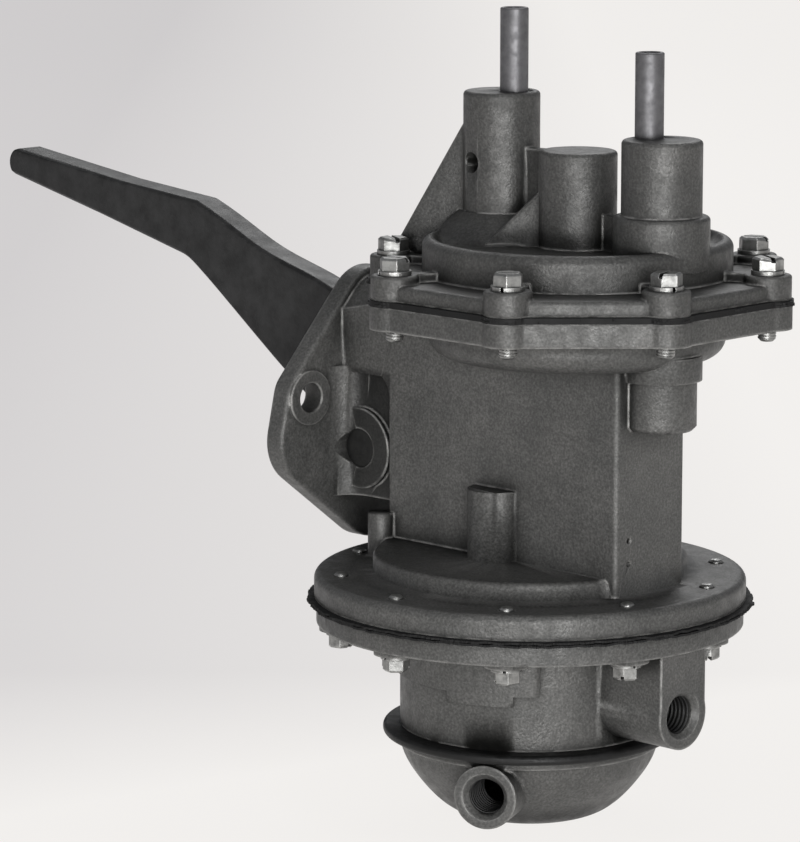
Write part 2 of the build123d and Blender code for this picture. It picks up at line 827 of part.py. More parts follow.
# Fuel diaphragm assembly: membrane, plates, rod, nut, spring and seal
with BuildPart() as fuel_diaphragm:
    with BuildSketch(fuel_section):
        with BuildLine():
            Polyline(
                (rod_screw_r + screw_hole_gap / 3, fuel_plate_z),
                (plate_r + 1.0, fuel_plate_z),
                (fuel_neck_r, valve_top_z),
                (fuel_membrane_r, valve_top_z),
                (fuel_membrane_r, fuel_joint_z),
                (fuel_neck_r, fuel_joint_z),
                (plate_r + 1.0, fuel_plate_z + membrane_t),
                (rod_screw_r + screw_hole_gap / 3, fuel_plate_z + membrane_t),
                close=True,
            )
        make_face()
    revolve(axis=fuel_axis)
    with BuildSketch(level(fuel_x, valve_top_z)):
        add(ring_of(fuel_screw_circle_r, fuel_screw_count, fuel_screw_start, fuel_screw_r + screw_hole_gap))
    extrude(amount=membrane_t, mode=Mode.SUBTRACT)
fuel_diaphragm.part.label = "fuel_diaphragm"
export_step(fuel_diaphragm.part, "parts/fuel_diaphragm.step")


def dished_plate(x, z, face):
    """Return a diaphragm plate with a turned edge that lies on the membrane."""
    with BuildPart() as plate:
        with BuildSketch(level(x, z)):
            Circle(plate_r)
            Circle(rod_screw_r + screw_hole_gap / 3, mode=Mode.SUBTRACT)
        extrude(amount=face * plate_t)
        chamfer(plate.edges().filter_by(GeomType.CIRCLE).group_by(Axis.Z)[-1 if face > 0 else 0].sort_by(
            SortBy.LENGTH
        )[-1], plate_t / 2)
    return plate.part


fuel_upper_plate = dished_plate(fuel_x, fuel_plate_z + membrane_t, 1)
fuel_upper_plate.label = "fuel_upper_plate"
export_step(fuel_upper_plate, "parts/fuel_upper_plate.step")
fuel_lower_plate = dished_plate(fuel_x, fuel_plate_z, -1)
fuel_lower_plate.label = "fuel_lower_plate"
export_step(fuel_lower_plate, "parts/fuel_lower_plate.step")

fuel_head_z = fuel_link_pad_z + free_gap
fuel_shoulder_z = fuel_plate_z + membrane_t + plate_t
with BuildPart() as fuel_rod:
    with BuildSketch(level(fuel_x, fuel_plate_z - plate_t - rod_nut_h - 0.5)):
        Circle(rod_screw_r)
    extrude(amount=fuel_shoulder_z - fuel_plate_z + plate_t + rod_nut_h + 0.5)
    with BuildSketch(level(fuel_x, fuel_shoulder_z)):
        Circle(fuel_rod_shoulder_r)
    extrude(amount=rod_shoulder_h)
    with BuildSketch(level(fuel_x, fuel_shoulder_z)):
        Circle(fuel_rod_r)
    extrude(amount=fuel_head_z - fuel_shoulder_z)
    with BuildSketch(level(fuel_x, fuel_head_z)):
        Rectangle(fuel_head_l, 2 * (vac_cheek_in - side_gap))
    extrude(amount=fuel_head_h)
fuel_rod.part.label = "fuel_rod"
export_step(fuel_rod.part, "parts/fuel_rod.step")

with BuildPart() as fuel_rod_nut:
    with BuildSketch(level(fuel_x, fuel_plate_z - plate_t - rod_nut_h)):
        RegularPolygon(rod_nut_af / 2, 6, major_radius=False)
        Circle(rod_screw_r + thread_fit, mode=Mode.SUBTRACT)
    extrude(amount=rod_nut_h)
fuel_rod_nut.part.label = "fuel_rod_nut"
export_step(fuel_rod_nut.part, "parts/fuel_rod_nut.step")

fuel_spring = coil(
    fuel_x,
    fuel_shoulder_z + seat_fit,
    drum_ceiling_z - fuel_shoulder_z - 2 * seat_fit,
    fuel_spring_r,
    fuel_spring_wire_r,
    fuel_spring_turns,
    fuel_spring_cone,
)
fuel_spring.label = "fuel_diaphragm_spring"
export_step(fuel_spring, "parts/fuel_diaphragm_spring.step")

with BuildPart() as oil_seal:
    with BuildSketch(level(fuel_x, drum_ceiling_z + seat_fit)):
        Circle(seal_r - seat_fit)
        Circle(fuel_rod_r + seal_lip_gap, mode=Mode.SUBTRACT)
    extrude(amount=seal_h - 2 * seat_fit)
oil_seal.part.label = "oil_seal"
export_step(oil_seal.part, "parts/oil_seal.step")

with BuildPart() as oil_seal_retainer:
    with BuildSketch(level(fuel_x, drum_ceiling_z)):
        Circle(retainer_r)
        Circle(fuel_rod_r + 2 * free_gap, mode=Mode.SUBTRACT)
    extrude(amount=-retainer_t)
oil_seal_retainer.part.label = "oil_seal_retainer"
export_step(oil_seal_retainer.part, "parts/oil_seal_retainer.step")

# Valve body under the fuel diaphragm
with BuildPart() as valve_body:
    # Flange, screw lugs and neck
    with BuildSketch(level(fuel_x, valve_flange_z)):
        Circle(disc_r - 0.6)
    extrude(amount=valve_flange_t)
    with BuildSketch(level(fuel_x, valve_flange_z - fuel_lug_drop)):
        add(ring_of(fuel_screw_circle_r, fuel_screw_count, fuel_screw_start, fuel_lug_r))
    extrude(amount=fuel_lug_drop + 0.5)
    with BuildSketch(level(fuel_x, valve_foot_z)):
        Circle(valve_neck_r)
    extrude(amount=valve_neck_h + 0.5)
    # Cast pads on the front of the neck
    with BuildSketch(level(fuel_x, valve_flange_z - cast_pad_h)):
        add(sector(valve_neck_r + cast_pad_rise, cast_pad_from, cast_pad_to))
    extrude(amount=cast_pad_h)
    with BuildSketch(level(fuel_x, valve_flange_z - small_pad_h)):
        add(sector(valve_neck_r + cast_pad_rise, small_pad_from, small_pad_to))
    extrude(amount=small_pad_h)
    # Outlet boss, round below and carried up to the flange
    with BuildSketch(Plane.YZ.offset(fuel_x + post_r)):
        with Locations((0, outlet_z)):
            Circle(outlet_round_r)
        with Locations((0, (outlet_z + valve_flange_z) / 2)):
            Rectangle(2 * outlet_half_w, valve_flange_z - outlet_z + 0.5)
    extrude(amount=outlet_face_x - fuel_x - post_r)
    # Fuel chamber
    with BuildSketch(fuel_section):
        with BuildLine():
            chamber_r = valve_neck_r - valve_neck_wall
            Polyline(
                (0, valve_top_z),
                (chamber_mouth_r, valve_top_z),
                (chamber_r, valve_top_z - chamber_cone_h),
                (chamber_r, chamber_floor_z),
                (0, chamber_floor_z),
                close=True,
            )
        make_face()
    revolve(axis=fuel_axis, mode=Mode.SUBTRACT)
    # Inlet side, open to the bowl below the deck
    with BuildSketch(level(fuel_x, valve_foot_z)):
        Circle(chamber_r)
        with Locations((chamber_r - partition_t / 2, 0)):
            Rectangle(2 * chamber_r, 2 * chamber_r, mode=Mode.SUBTRACT)
        Circle(post_r, mode=Mode.SUBTRACT)
    extrude(amount=deck_under_z - valve_foot_z, mode=Mode.SUBTRACT)
    # Outlet side, closed below and joined to the outlet bore
    with BuildSketch(level(fuel_x, valve_foot_z + outlet_plenum_floor)):
        Circle(chamber_r)
        with Locations((-chamber_r + partition_t / 2, 0)):
            Rectangle(2 * chamber_r, 2 * chamber_r, mode=Mode.SUBTRACT)
        Circle(post_r, mode=Mode.SUBTRACT)
    extrude(amount=deck_under_z - valve_foot_z - outlet_plenum_floor, mode=Mode.SUBTRACT)
    # Valve seats hanging under the deck
    with BuildSketch(level(fuel_x, chamber_floor_z - cage_h - seat_t)):
        with Locations((-valve_offset, 0), (valve_offset, 0)):
            Circle(cage_r + 2.4)
    extrude(amount=cage_h + seat_t)
    with BuildSketch(level(fuel_x, chamber_floor_z - cage_h)):
        with Locations((-valve_offset, 0), (valve_offset, 0)):
            Circle(cage_r + seat_fit)
    extrude(amount=cage_h, mode=Mode.SUBTRACT)
    with BuildSketch(level(fuel_x, chamber_floor_z - cage_h - seat_t)):
        with Locations((-valve_offset, 0), (valve_offset, 0)):
            Circle(cage_r - cage_wall - 0.5)
    extrude(amount=seat_t, mode=Mode.SUBTRACT)
    # Outlet bore with a chamfered mouth
    with BuildSketch(Plane.YZ.offset(fuel_x + chamber_r - 3.0)):
        with Locations((0, outlet_z)):
            Circle(outlet_bore_r)
    extrude(amount=outlet_face_x - fuel_x - chamber_r + 3.0, mode=Mode.SUBTRACT)
    with BuildSketch(Plane.YZ.offset(outlet_face_x)):
        with Locations((0, outlet_z)):
            Circle(outlet_mouth_r)
    extrude(amount=-(outlet_mouth_r - outlet_bore_r), taper=45, mode=Mode.SUBTRACT)
    # Screw holes and the tapped hole for the bowl screw
    with BuildSketch(level(fuel_x, valve_flange_z - fuel_lug_drop)):
        add(ring_of(fuel_screw_circle_r, fuel_screw_count, fuel_screw_start, fuel_screw_r + screw_hole_gap))
    extrude(amount=valve_flange_t + fuel_lug_drop, mode=Mode.SUBTRACT)
    with BuildSketch(level(fuel_x, valve_foot_z)):
        Circle(centre_screw_r + thread_fit)
    extrude(amount=centre_thread_len + 1.0, mode=Mode.SUBTRACT)
valve_body.part.label = "valve_body"
export_step(valve_body.part, "parts/valve_body.step")


# Check valves: a pressed cage with its seat, a disc and a small spring
def check_valve(name, x, seat_z, flow):
    """Write the cage, disc and spring of one valve; flow is 1 for up, -1 for down."""
    with BuildPart() as cage:
        with BuildSketch(level(x, seat_z)):
            Circle(cage_r)
        extrude(amount=flow * cage_h)
        with BuildSketch(level(x, seat_z + flow * seat_t)):
            Circle(cage_r - cage_wall)
        extrude(amount=flow * (cage_h - seat_t - spider_t), mode=Mode.SUBTRACT)
        with BuildSketch(level(x, seat_z)):
            Circle(seat_hole_r)
        extrude(amount=flow * seat_t, mode=Mode.SUBTRACT)
        with BuildSketch(level(x, seat_z + flow * (cage_h - spider_t))):
            add(ring_of(spider_hole_circle_r, spider_hole_count, 45.0, spider_hole_r))
        extrude(amount=flow * spider_t, mode=Mode.SUBTRACT)
    cage.part.label = f"{name}_cage"
    export_step(cage.part, f"parts/{name}_cage.step")
    disc_z = seat_z + flow * (seat_t + valve_disc_gap)
    with BuildPart() as disc:
        with BuildSketch(level(x, disc_z)):
            Circle(valve_disc_r)
        extrude(amount=flow * valve_disc_t)
    disc.part.label = f"{name}_disc"
    export_step(disc.part, f"parts/{name}_disc.step")
    near_z = disc_z + flow * valve_disc_t
    far_z = seat_z + flow * (cage_h - spider_t)
    low_z = min(near_z, far_z)
    spring_h = abs(far_z - near_z) - 2 * seat_fit
    spring = coil(x, low_z + seat_fit, spring_h, valve_spring_r, valve_wire_r, valve_spring_turns)
    spring.label = f"{name}_spring"
    export_step(spring, f"parts/{name}_spring.step")


check_valve("fuel_inlet_valve", fuel_x - valve_offset, chamber_floor_z - cage_h, 1)
check_valve("fuel_outlet_valve", fuel_x + valve_offset, chamber_floor_z, -1)
check_valve("vacuum_inlet_valve", left_boss_x, cover_ceiling_z + cage_h, -1)
check_valve("vacuum_outlet_valve", right_boss_x, cover_ceiling_z, 1)

# Rubber ring between the valve body and the bowl
with BuildPart() as bowl_seal:
    with BuildSketch(level(fuel_x, bowl_top_z)):
        Circle(bowl_seal_r)
        Circle(bowl_seal_inner_r, mode=Mode.SUBTRACT)
    extrude(amount=bowl_seal_t)
    fillet(edges().filter_by(GeomType.CIRCLE).sort_by(SortBy.LENGTH)[-2:], bowl_seal_t / 2 - 0.2)
bowl_seal.part.label = "bowl_seal"
export_step(bowl_seal.part, "parts/bowl_seal.step")

# Cast inlet bowl, a dome with the inlet boss on its front
with BuildPart() as inlet_bowl:
    shoulder_z = bowl_top_z - bowl_rim_h
    with BuildSketch(fuel_section):
        with BuildLine():
            Polyline(
                (0, bowl_top_z),
                (bowl_rim_r, bowl_top_z),
                (bowl_rim_r, shoulder_z),
                (bowl_side_r, shoulder_z),
            )
            Spline(
                (bowl_side_r, shoulder_z),
                (0.88 * bowl_side_r, bowl_top_z - 0.50 * bowl_depth),
                (0.67 * bowl_side_r, bowl_top_z - 0.86 * bowl_depth),
                (bowl_foot_r, bowl_foot_z),
                tangents=((-0.2, -1), (-1, -0.2)),
            )
            Polyline((bowl_foot_r, bowl_foot_z), (0, bowl_foot_z), (0, bowl_top_z))
        make_face()
    revolve(axis=fuel_axis)
    inlet_plane = Plane(
        origin=(fuel_x, 0, inlet_z),
        x_dir=(0, 0, 1),
        z_dir=(cos(radians(inlet_angle)), sin(radians(inlet_angle)), 0),
    )
    with BuildSketch(inlet_plane):
        Circle(inlet_boss_r)
    extrude(amount=inlet_reach)
    # Hollow with a centre post for the bowl screw
    with BuildSketch(fuel_section):
        with BuildLine():
            Polyline(
                (post_r, bowl_top_z),
                (screen_r, bowl_top_z),
                (screen_r, bowl_top_z - screen_ledge),
                (bowl_rim_r - bowl_wall - 1.0, bowl_top_z - screen_ledge),
                (bowl_rim_r - bowl_wall - 1.0, shoulder_z),
            )
            Spline(
                (bowl_rim_r - bowl_wall - 1.0, shoulder_z),
                (0.88 * bowl_side_r - bowl_wall - 1.0, bowl_top_z - 0.50 * bowl_depth),
                (bowl_foot_r - 1.0, bowl_foot_z + bowl_wall + 1.0),
            )
            Polyline(
                (bowl_foot_r - 1.0, bowl_foot_z + bowl_wall + 1.0),
                (centre_recess_r + bowl_wall, bowl_foot_z + bowl_wall + 1.0),
                (post_r, bowl_foot_z + centre_recess_depth + bowl_wall),
                (post_r, bowl_top_z),
            )
        make_face()
    revolve(axis=fuel_axis, mode=Mode.SUBTRACT)
    with BuildSketch(level(fuel_x, bowl_top_z)):
        Circle(post_r - 1.0)
    extrude(amount=bowl_seal_t - seat_fit)
    # Inlet boss carried inwards, and its bore with a chamfered mouth
    with BuildSketch(inlet_plane.offset(inlet_reach - inlet_thread_len)):
        Circle(inlet_bore_r + inlet_boss_wall)
    extrude(amount=inlet_thread_len - inlet_reach + bowl_side_r - bowl_wall)
    with BuildSketch(inlet_plane.offset(inlet_reach - inlet_thread_len)):
        Circle(inlet_bore_r)
    extrude(amount=inlet_thread_len, mode=Mode.SUBTRACT)
    with BuildSketch(inlet_plane.offset(inlet_reach)):
        Circle(inlet_mouth_r)
    extrude(amount=-(inlet_mouth_r - inlet_bore_r), taper=45, mode=Mode.SUBTRACT)
    # Screw hole and the recess for its head
    with BuildSketch(level(fuel_x, bowl_foot_z)):
        Circle(centre_screw_r + centre_screw_hole_gap)
    extrude(amount=bowl_depth + bowl_seal_t, mode=Mode.SUBTRACT)
    with BuildSketch(level(fuel_x, bowl_foot_z)):
        Circle(centre_recess_r)
    extrude(amount=centre_recess_depth, mode=Mode.SUBTRACT)
inlet_bowl.part.label = "inlet_bowl"
export_step(inlet_bowl.part, "parts/inlet_bowl.step")

recess_z = bowl_foot_z + centre_recess_depth
with BuildPart() as bowl_screw_washer:
    with BuildSketch(level(fuel_x, recess_z - centre_washer_t)):
        Circle(centre_washer_r)
        Circle(centre_screw_r + centre_screw_hole_gap, mode=Mode.SUBTRACT)
    extrude(amount=centre_washer_t)
bowl_screw_washer.part.label = "bowl_screw_washer"
export_step(bowl_screw_washer.part, "parts/bowl_screw_washer.step")

with BuildPart() as bowl_screw:
    with BuildSketch(level(fuel_x, recess_z - centre_washer_t - centre_head_h)):
        RegularPolygon(centre_head_af / 2, 6, major_radius=False)
    extrude(amount=centre_head_h)
    with BuildSketch(level(fuel_x, recess_z - centre_washer_t)):
        Circle(centre_screw_r)
    extrude(amount=valve_foot_z + centre_thread_len - recess_z + centre_washer_t)
bowl_screw.part.label = "bowl_screw"
export_step(bowl_screw.part, "parts/bowl_screw.step")

with BuildPart() as filter_screen:
    with BuildSketch(level(fuel_x, bowl_top_z - screen_ledge)):
        Circle(screen_r - thread_fit)
        Circle(post_r + free_gap, mode=Mode.SUBTRACT)
    extrude(amount=screen_t)
filter_screen.part.label = "filter_screen"
export_step(filter_screen.part, "parts/filter_screen.step")

# Vacuum diaphragm assembly: membrane, plates, rod, nut and spring
with BuildPart() as vacuum_diaphragm:
    with BuildSketch(level(vac_x, vac_joint_z)):
        add(lug_outline(membrane_lug_r, vac_flange_lug_proud))
        Circle(vac_neck_r, mode=Mode.SUBTRACT)
        add(ring_of(lug_circle_r, lug_count, lug_start, vac_screw_r + screw_hole_gap), mode=Mode.SUBTRACT)
    extrude(amount=membrane_t)
    with BuildSketch(vac_section):
        with BuildLine():
            Polyline(
                (rod_screw_r + screw_hole_gap / 3, vac_plate_z),
                (plate_r + 1.0, vac_plate_z),
                (vac_neck_r, vac_joint_z),
                (vac_neck_r, vac_joint_z + membrane_t),
                (plate_r + 1.0, vac_plate_z + membrane_t),
                (rod_screw_r + screw_hole_gap / 3, vac_plate_z + membrane_t),
                close=True,
            )
        make_face()
    revolve(axis=vac_axis)
vacuum_diaphragm.part.label = "vacuum_diaphragm"
export_step(vacuum_diaphragm.part, "parts/vacuum_diaphragm.step")

vacuum_upper_plate = dished_plate(vac_x, vac_plate_z + membrane_t, 1)
vacuum_upper_plate.label = "vacuum_upper_plate"
export_step(vacuum_upper_plate, "parts/vacuum_upper_plate.step")
vacuum_lower_plate = dished_plate(vac_x, vac_plate_z, -1)
vacuum_lower_plate.label = "vacuum_lower_plate"
export_step(vacuum_lower_plate, "parts/vacuum_lower_plate.step")

vac_foot_z = vac_link_pad_z + free_gap
vac_shoulder_z = vac_plate_z - plate_t
vac_nut_z = vac_plate_z + membrane_t + plate_t
with BuildPart() as vacuum_rod:
    with BuildSketch(level(vac_x, vac_foot_z)):
        Circle(vac_rod_r)
    extrude(amount=vac_shoulder_z - vac_foot_z)
    with BuildSketch(level(vac_x, vac_shoulder_z)):
        Circle(vac_rod_shoulder_r)
    extrude(amount=-rod_shoulder_h)
    with BuildSketch(level(vac_x, vac_shoulder_z)):
        Circle(rod_screw_r)
    extrude(amount=vac_nut_z + rod_nut_h + 0.5 - vac_shoulder_z)
vacuum_rod.part.label = "vacuum_rod"
export_step(vacuum_rod.part, "parts/vacuum_rod.step")

with BuildPart() as vacuum_rod_nut:
    with BuildSketch(level(vac_x, vac_nut_z)):
        RegularPolygon(rod_nut_af / 2, 6, major_radius=False)
        Circle(rod_screw_r + thread_fit, mode=Mode.SUBTRACT)
    extrude(amount=rod_nut_h)
vacuum_rod_nut.part.label = "vacuum_rod_nut"
export_step(vacuum_rod_nut.part, "parts/vacuum_rod_nut.step")

spring_bore_r = mid_boss_r - mid_boss_wall
vacuum_spring = coil(
    vac_x,
    vac_nut_z + seat_fit,
    mid_boss_top_z - mid_boss_roof_t - vac_nut_z - 2 * seat_fit,
    spring_bore_r - vac_spring_wire_r - free_gap,
    vac_spring_wire_r,
    vac_spring_turns,
)
vacuum_spring.label = "vacuum_diaphragm_spring"
export_step(vacuum_spring, "parts/vacuum_diaphragm_spring.step")


# Cast vacuum cover with its three bosses
def boss_section(radius, foot_z, top_z):
    """Return half the section of a round boss with a rounded top edge."""
    bend = boss_edge_round * (1 - cos(radians(45)))
    with BuildSketch() as section:
        with BuildLine():
            Polyline((0, foot_z), (radius, foot_z), (radius, top_z - boss_edge_round))
            ThreePointArc(
                (radius, top_z - boss_edge_round),
                (radius - bend, top_z - bend),
                (radius - boss_edge_round, top_z),
            )
            Polyline((radius - boss_edge_round, top_z), (0, top_z), (0, foot_z))
        make_face()
    return section.sketch


with BuildPart() as hump:
    with BuildSketch(upright(left_boss_x)):
        with BuildLine():
            Polyline(
                (0, cover_floor_z - 1.0),
                (hump_foot_r, cover_floor_z - 1.0),
                (hump_foot_r, cover_floor_z),
                (hump_top_r, cover_floor_z + hump_h),
                (0, cover_floor_z + hump_h),
                close=True,
            )
        make_face()
    revolve(axis=Axis((left_boss_x, 0, 0), (0, 0, 1)))
    with BuildSketch(level(vac_x, cover_floor_z - 1.0)):
        Circle(cover_rim_inner_r + 1.0)
    extrude(amount=hump_h + 2.0, mode=Mode.INTERSECT)

gusset_reach = ((left_boss_x - gusset_foot_x) ** 2 + gusset_foot_y**2) ** 0.5
gusset_angle = degrees(atan2(gusset_foot_y, gusset_foot_x - left_boss_x))
tube_spots = ((left_tube_x, left_boss_top_z), (right_tube_x, right_boss_top_z))

# Flange of the vacuum cover and its screw lugs, each with a rounded upper edge
with BuildPart() as cover_flange:
    with BuildSketch(level(vac_x, cover_z)):
        add(lug_outline(cover_lug_r, cover_lug_proud))
    extrude(amount=cover_flange_t)
    fillet(edges().group_by(Axis.Z)[-1], cover_edge_r)

with BuildPart() as cover_lugs:
    with BuildSketch(level(vac_x, cover_z)):
        add(ring_of(lug_circle_r, lug_count, lug_start, cover_lug_r))
    extrude(amount=lug_top_z - cover_z)
    fillet(edges().group_by(Axis.Z)[-1], cover_lug_edge_r)

with BuildPart() as vacuum_cover:
    # Flange, lugs and the ribs that tie them to the wall
    add(cover_flange.part)
    add(cover_lugs.part)
    with BuildSketch(level(vac_x, cover_flange_top_z - cover_edge_r)):
        with PolarLocations((lug_circle_r + cover_wall_r) / 2 - 0.5, lug_count, start_angle=lug_start):
            Rectangle(lug_circle_r - cover_wall_r + 1.0, cover_rib_t)
    extrude(amount=cover_lug_rise + cover_edge_r)
    # Wall with a rounded rim round a sunken floor
    with BuildSketch(vac_section):
        with BuildLine():
            bend = cover_rim_round * (1 - cos(radians(45)))
            Polyline((0, cover_z), (cover_wall_r, cover_z), (cover_wall_r, cover_rim_z - cover_rim_round))
            ThreePointArc(
                (cover_wall_r, cover_rim_z - cover_rim_round),
                (cover_wall_r - bend, cover_rim_z - bend),
                (cover_wall_r - cover_rim_round, cover_rim_z),
            )
            Polyline(
                (cover_wall_r - cover_rim_round, cover_rim_z),
                (cover_rim_inner_r, cover_rim_z),
                (cover_rim_inner_r - 0.6 * cover_recess, cover_floor_z),
                (0, cover_floor_z),
                (0, cover_z),
            )
        make_face()
    revolve(axis=vac_axis)
    # Gusset from the left boss down to the flange
    with BuildSketch(radial(left_boss_x, gusset_angle)):
        with BuildLine():
            Polyline(
                (0, cover_z),
                (gusset_reach, cover_z),
                (gusset_reach, lug_top_z),
                (left_boss_r - 1.0, left_boss_top_z - gusset_top_drop),
                (0, left_boss_top_z - gusset_top_drop),
                close=True,
            )
        make_face()
    extrude(amount=gusset_t / 2, both=True)
    # Webs between the bosses and the thin fin
    with BuildSketch(upright(left_boss_x)):
        with Locations(((vac_x - left_boss_x) / 2, (cover_floor_z + mid_boss_top_z - boss_edge_round) / 2)):
            Rectangle(vac_x - left_boss_x, mid_boss_top_z - boss_edge_round - cover_floor_z + 1.0)
    extrude(amount=web_t / 2, both=True)
    with BuildSketch(upright(vac_x)):
        with Locations(((right_boss_x - vac_x) / 2, cover_floor_z + low_web_h / 2 - 0.5)):
            Rectangle(right_boss_x - vac_x, low_web_h + 1.0)
    extrude(amount=web_t / 2, both=True)
    with BuildSketch(radial(vac_x, fin_angle)):
        with BuildLine():
            Polyline(
                (0, cover_floor_z - 0.5),
                (fin_reach, cover_floor_z - 0.5),
                (mid_boss_r - 0.7, cover_floor_z + fin_top_h),
                (0, cover_floor_z + fin_top_h),
                close=True,
            )
        make_face()
    extrude(amount=fin_t / 2, both=True)
    # Bosses: suction and manifold sides, and the spring housing between them
    add(hump.part)
    with BuildSketch(upright(left_boss_x)):
        add(boss_section(left_boss_r, cover_ceiling_z, left_boss_top_z))
    revolve(axis=Axis((left_boss_x, 0, 0), (0, 0, 1)))
    with BuildSketch(upright(vac_x)):
        add(boss_section(mid_boss_r, cover_ceiling_z, mid_boss_top_z))
    revolve(axis=vac_axis)
    with BuildSketch(upright(right_boss_x)):
        add(boss_section(right_boss_r, cover_ceiling_z, right_boss_top_z))
        add(boss_section(base_ring_r, cover_ceiling_z, cover_floor_z + base_ring_h))
    revolve(axis=Axis((right_boss_x, 0, 0), (0, 0, 1)))
    # Chamber under the cover, spring bore, valve seats and air passages
    with BuildSketch(level(vac_x, cover_z)):
        Circle(cover_chamber_r)
    extrude(amount=cover_ceiling_z - cover_z, mode=Mode.SUBTRACT)
    with BuildSketch(level(vac_x, cover_ceiling_z)):
        Circle(mid_boss_r - mid_boss_wall)
    extrude(amount=mid_boss_top_z - mid_boss_roof_t - cover_ceiling_z, mode=Mode.SUBTRACT)
    with BuildSketch(Plane.XY.offset(cover_ceiling_z)):
        with Locations((left_boss_x, 0), (right_boss_x, 0)):
            Circle(cage_r + seat_fit)
    extrude(amount=cage_h, mode=Mode.SUBTRACT)
    for tube_x, top_z in tube_spots:
        with BuildSketch(Plane.XY.offset(cover_ceiling_z + cage_h)):
            with Locations((tube_x, tube_back_y)):
                Circle(passage_r)
        extrude(amount=top_z - cover_ceiling_z - cage_h, mode=Mode.SUBTRACT)
        with BuildSketch(Plane.XY.offset(top_z - tube_seat_depth)):
            with Locations((tube_x, tube_back_y)):
                Circle(tube_seat_r + seat_fit)
        extrude(amount=tube_seat_depth, mode=Mode.SUBTRACT)
    # Screw holes and the spot hole on the left boss
    with BuildSketch(level(vac_x, cover_z)):
        add(ring_of(lug_circle_r, lug_count, lug_start, vac_screw_r + screw_hole_gap))
    extrude(amount=lug_top_z - cover_z, mode=Mode.SUBTRACT)
    spot_plane = Plane(
        origin=(left_boss_x, 0, spot_hole_z),
        x_dir=(0, 0, 1),
        z_dir=(cos(radians(spot_hole_angle)), sin(radians(spot_hole_angle)), 0),
    )
    with BuildSketch(spot_plane.offset(left_boss_r - spot_hole_depth)):
        Circle(spot_hole_r)
    extrude(amount=spot_hole_depth + 1.0, mode=Mode.SUBTRACT)
vacuum_cover.part.label = "vacuum_cover"
export_step(vacuum_cover.part, "parts/vacuum_cover.step")

# Steel tubes, swaged where they are pressed into the outer bosses
tube_rises = (left_tube_rise, right_tube_rise)
for tube_name, (tube_x, top_z), rise in zip(("suction_tube", "manifold_tube"), tube_spots, tube_rises):
    with BuildPart() as tube:
        with BuildSketch(level(tube_x, top_z - tube_seat_depth)):
            with Locations((0, tube_back_y)):
                Circle(tube_seat_r)
        extrude(amount=tube_seat_depth)
        with BuildSketch(level(tube_x, top_z)):
            with Locations((0, tube_back_y)):
                Circle(tube_r)
        extrude(amount=rise)
        with BuildSketch(level(tube_x, top_z - tube_seat_depth)):
            with Locations((0, tube_back_y)):
                Circle(tube_bore_r)
        extrude(amount=tube_seat_depth + rise, mode=Mode.SUBTRACT)
        fillet(edges().group_by(Axis.Z)[-1].sort_by(SortBy.LENGTH)[-1], tube_edge)
    tube.part.label = tube_name
    export_step(tube.part, f"parts/{tube_name}.step")


# Flange screws with slotted hexagon heads on split lock washers
def flange_screws(name, x, circle_r, count, start, face_z, end_z, shank_r, head_af):
    """Write one ring of screws and one ring of washers that sit on a face."""
    side = 1 if face_z > end_z else -1
    head_z = face_z + side * washer_t
    washer_r = shank_r + washer_width
    with BuildPart() as screws:
        with BuildSketch(level(x, head_z)):
            add(ring_of(circle_r, count, start, shank_r))
        extrude(amount=end_z - head_z)
        tip_edges = edges().filter_by(GeomType.CIRCLE).group_by(Axis.Z)[0 if side > 0 else -1]
        chamfer(tip_edges, screw_tip_chamfer)
        with BuildSketch(level(x, head_z)):
            with PolarLocations(circle_r, count, start_angle=start):
                RegularPolygon(head_af / 2, 6, major_radius=False, rotation=15)
        extrude(amount=side * screw_head_h)
        outer_face = faces().filter_by(Axis.Z).group_by(Axis.Z)[-1 if side > 0 else 0]
        chamfer(outer_face.edges(), 0.6)
        with BuildSketch(level(x, head_z + side * screw_head_h)):
            with PolarLocations(circle_r, count, start_angle=start):
                Rectangle(screw_slot_w, 2 * head_af, rotation=40)
        extrude(amount=-side * screw_slot_depth, mode=Mode.SUBTRACT)
    screws.part.label = f"{name}_screws"
    export_step(screws.part, f"parts/{name}_screws.step")
    with BuildPart() as washers:
        with BuildSketch(level(x, face_z)):
            add(ring_of(circle_r, count, start, washer_r))
            add(ring_of(circle_r, count, start, shank_r + screw_hole_gap), mode=Mode.SUBTRACT)
            with PolarLocations(circle_r + (washer_r + shank_r) / 2, count, start_angle=start):
                Rectangle(washer_width + 1.0, washer_split, mode=Mode.SUBTRACT)
        extrude(amount=side * washer_t)
    washers.part.label = f"{name}_lock_washers"
    export_step(washers.part, f"parts/{name}_lock_washers.step")


flange_screws(
    "vacuum_cover",
    vac_x,
    lug_circle_r,
    lug_count,
    lug_start,
    lug_top_z,
    vac_flange_z - vac_screw_tip,
    vac_screw_r,
    vac_screw_head_af,
)
flange_screws(
    "valve_body",
    fuel_x,
    fuel_screw_circle_r,
    fuel_screw_count,
    fuel_screw_start,
    valve_flange_z - fuel_lug_drop,
    disc_top_z + fuel_screw_tip,
    fuel_screw_r,
    fuel_screw_head_af,
)
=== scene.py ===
import json
from math import cos, pi, radians, sin

import bmesh
import bpy
from bpy.props import FloatProperty, FloatVectorProperty, PointerProperty
from bpy.types import Operator, Panel, PropertyGroup
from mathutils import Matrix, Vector, noise

